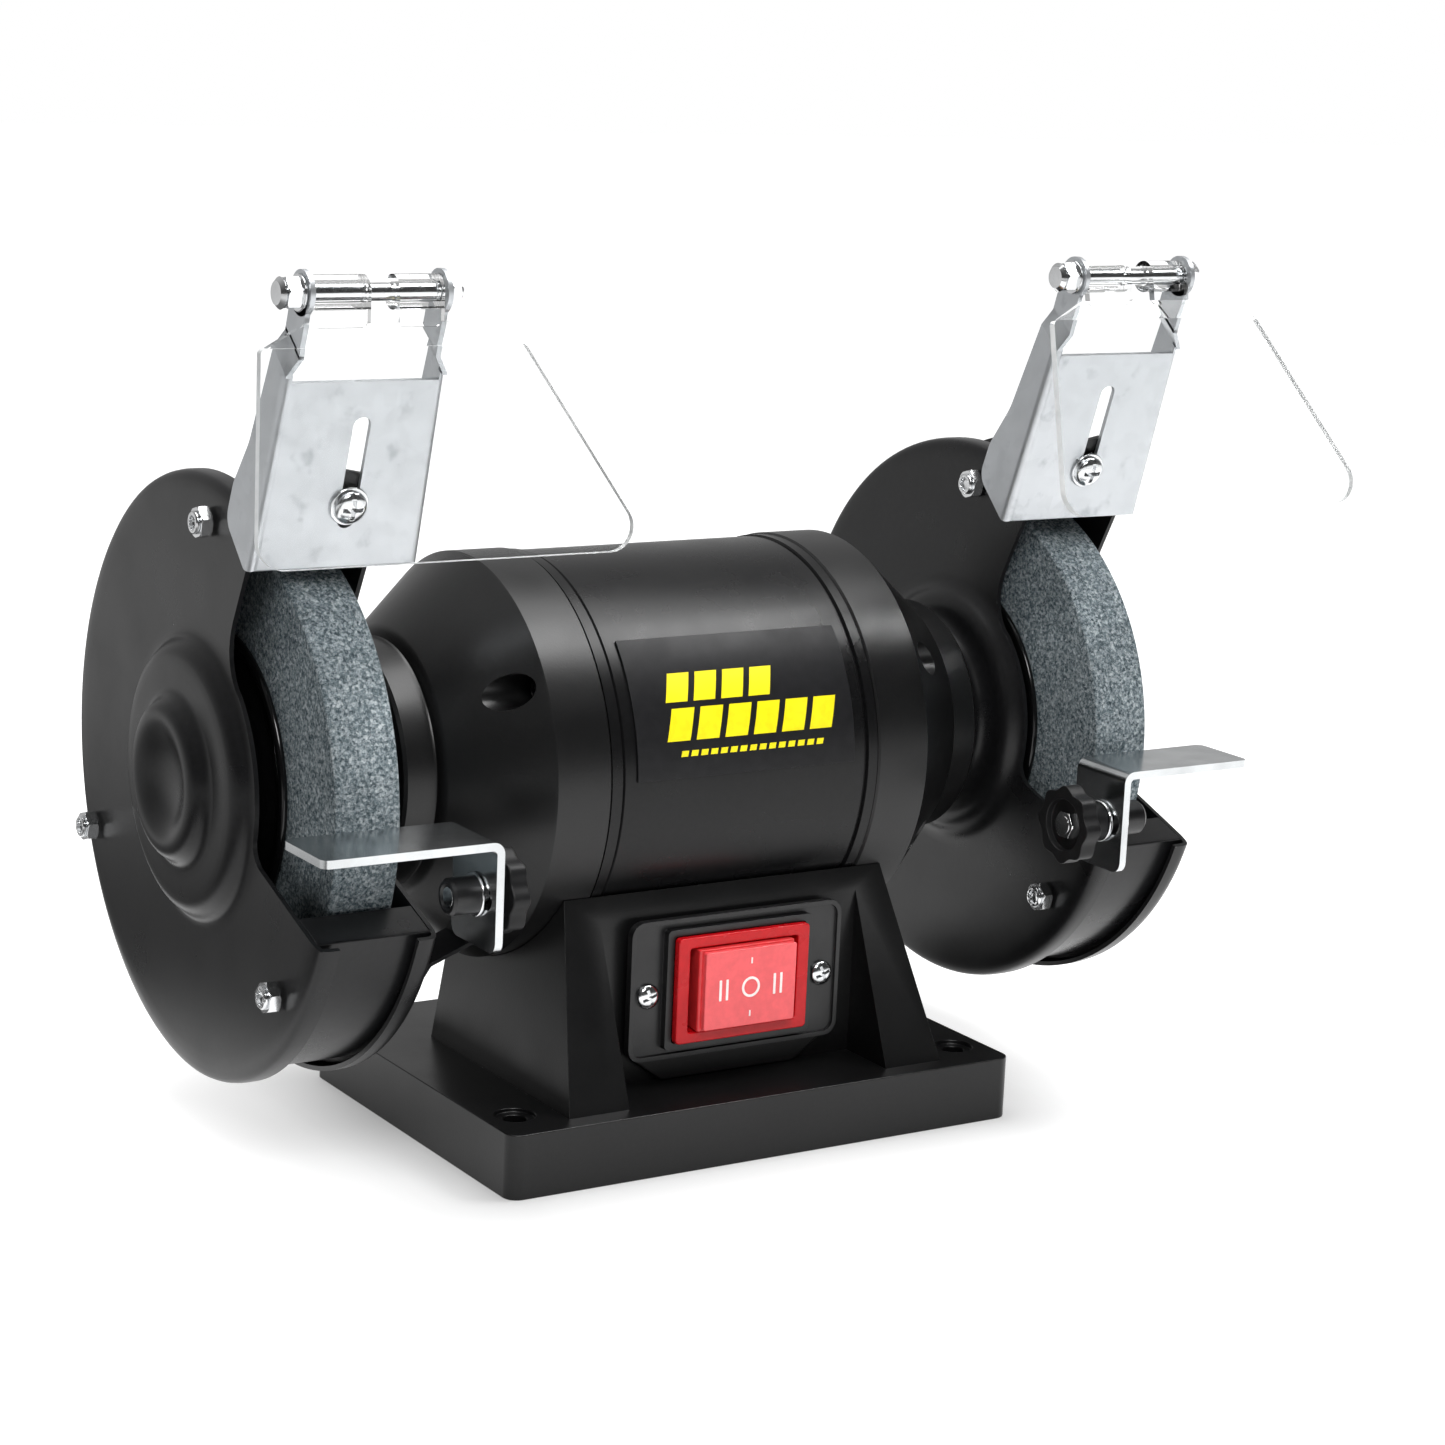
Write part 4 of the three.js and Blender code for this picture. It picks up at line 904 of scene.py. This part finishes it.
# ---- Carried-over CAD nodes ----
def finish_cad_nodes():
    looks = {"bottom_cover": BASE_BLACK, "capacitor": PLASTIC_BLACK, "stator_core": LAMINATION,
             "rotor_core": LAMINATION, "spindle_shaft": STEEL, "winding": COPPER, "bearing": STEEL,
             "rest_arm": GUARD_BLACK}
    for name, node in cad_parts.items():
        for start, material in looks.items():
            if name.startswith(start):
                node.data.materials.clear()
                node.data.materials.append(material)


# ---- Studio ----
CONTACT_SHADOW_GLOW = 0.25  # the floor's glow right beside the base, kept low there as a painted contact shadow
WALL_FRONT, WALL_BACK = 0.05, 0.5  # the walls' light, for everything but the camera


def make_studio():
    bm = bmesh.new()
    bmesh.ops.create_grid(bm, x_segments=2, y_segments=2, size=6)
    mesh = bpy.data.meshes.new("floor")
    bm.to_mesh(mesh)
    bm.free()
    floor = bpy.data.objects.new("floor", mesh)
    pale = Surface("pale_floor", (0.9, 0.9, 0.9), 0.7, Emission_Color=(1, 1, 1, 1), Specular_IOR_Level=0.1)

    def vector_math(operation, first, second=None):
        node = pale.nodes.new("ShaderNodeVectorMath")
        node.operation = operation
        pale.links.new(first, node.inputs[0])
        if second:
            node.inputs[1].default_value = second
        return node

    def mapped(value, low, high, at_low, at_high):
        node = pale.nodes.new("ShaderNodeMapRange")
        node.inputs["From Min"].default_value = low
        node.inputs["From Max"].default_value = high
        node.inputs["To Min"].default_value = at_low
        node.inputs["To Max"].default_value = at_high
        pale.links.new(value, node.inputs["Value"])
        return node.outputs["Result"]

    # Painted shade on the floor: it glows less beside the base, a painted contact shadow, and a strip of it
    # beyond the left end is darkened, painted shade that the left-facing faces reflect.
    offset = vector_math("ADD", pale.place, (0, 0.019, 0)).outputs["Vector"]
    outside = vector_math("SUBTRACT", vector_math("ABSOLUTE", offset).outputs["Vector"], (0.085, 0.06, 0))
    beyond = vector_math("MAXIMUM", outside.outputs["Vector"], (0, 0, 0)).outputs["Vector"]
    glow_and_painted_shadow = mapped(vector_math("LENGTH", beyond).outputs["Value"], 0, 0.06, CONTACT_SHADOW_GLOW, 0.92)
    leftward = vector_math("DOT_PRODUCT", pale.place, (-0.935, 0.35, 0)).outputs["Value"]
    # Painted shade: this strip darkens both the floor's colour and its glow, so the left-facing faces
    # reflect a dark floor.
    painted_dark_strip = pale.ramp(mapped(leftward, 0.1, 0.7, 0, 1), (0.17, 1.0), (0.25, 0.1), (0.4, 0.12), (0.7, 0.6))
    paint = pale.ramp(pale.noise(3, 2), (0.3, 0.4), (0.7, 0.42))
    pale.wire(pale.mixed(1.0, paint, painted_dark_strip, "MULTIPLY"), "Base Color")
    strength = pale.nodes.new("ShaderNodeMath")
    strength.operation = "MULTIPLY"
    pale.links.new(glow_and_painted_shadow, strength.inputs[0])
    pale.links.new(painted_dark_strip, strength.inputs[1])
    pale.wire(strength.outputs["Value"], "Emission Strength")
    mesh.materials.append(pale.material)
    bpy.context.scene.collection.objects.link(floor)

    world = bpy.data.worlds.new("studio")
    bpy.context.scene.world = world
    world.use_nodes = True
    nodes, links = world.node_tree.nodes, world.node_tree.links
    background = nodes["Background"]
    background.inputs["Strength"].default_value = 1.0
    direction = nodes.new("ShaderNodeSeparateXYZ")
    links.new(nodes.new("ShaderNodeTexCoord").outputs["Generated"], direction.inputs["Vector"])
    fade = nodes.new("ShaderNodeMapRange")
    fade.inputs["From Min"].default_value = -0.4
    fade.inputs["From Max"].default_value = 0.7
    fade.inputs["To Min"].default_value = WALL_FRONT
    fade.inputs["To Max"].default_value = WALL_BACK
    links.new(direction.outputs["Y"], fade.inputs["Value"])
    links.new(fade.outputs["Result"], background.inputs["Color"])
    backdrop = nodes.new("ShaderNodeBackground")
    backdrop.inputs["Color"].default_value = (1, 1, 1, 1)
    path = nodes.new("ShaderNodeLightPath")
    mix = nodes.new("ShaderNodeMixShader")
    links.new(path.outputs["Is Camera Ray"], mix.inputs["Fac"])
    links.new(background.outputs["Background"], mix.inputs[1])
    links.new(backdrop.outputs["Background"], mix.inputs[2])
    links.new(mix.outputs["Shader"], nodes["World Output"].inputs["Surface"])

    def softbox(name, place, aim, width, height, power):
        data = bpy.data.lights.new(name, "AREA")
        data.shape = "RECTANGLE"
        data.size, data.size_y = width, height
        data.energy = power
        lamp = bpy.data.objects.new(name, data)
        lamp.location = place
        lamp.rotation_euler = (Vector(aim) - Vector(place)).to_track_quat("-Z", "Y").to_euler()
        bpy.context.scene.collection.objects.link(lamp)

    softbox("key", (-0.5, -1.3, 1.3), (0, 0, 0.1), 0.7, 0.5, 16)
    softbox("overhead", (0.1, 0.1, 1.5), (0, 0, 0.1), 1.2, 1.0, 20)
    softbox("right", (0.85, -0.4, 1.4), (0, 0, 0.1), 0.5, 0.5, 11)


def make_camera():
    data = bpy.data.cameras.new("camera")
    data.sensor_width = 36
    data.lens = 85.005
    data.clip_start, data.clip_end = 0.01, 50
    camera = bpy.data.objects.new("camera", data)
    right = Vector((0.84517063, -0.53275437, 0.04312062))
    up = Vector((0.07720495, 0.20151125, 0.97643874))
    back = Vector((-0.5288913, -0.82192822, 0.21144266))
    turn = Matrix((right, up, back)).transposed().to_4x4()
    camera.matrix_world = Matrix.Translation((-0.55273, -0.90551, 0.34922)) @ turn
    bpy.context.scene.collection.objects.link(camera)
    bpy.context.scene.camera = camera


make_camera()
make_studio()
make_base()
make_motor()
make_label()
make_switch()
make_gland()
for side, sign in SIDES.items():
    make_wheel(side, sign)
    make_guard(side, sign)
    make_bracket(side, sign)
    make_shield(side)
    make_rest(side, sign)
    make_clamp(side, sign)
finish_cad_nodes()
bpy.context.scene.view_settings.view_transform = "Standard"
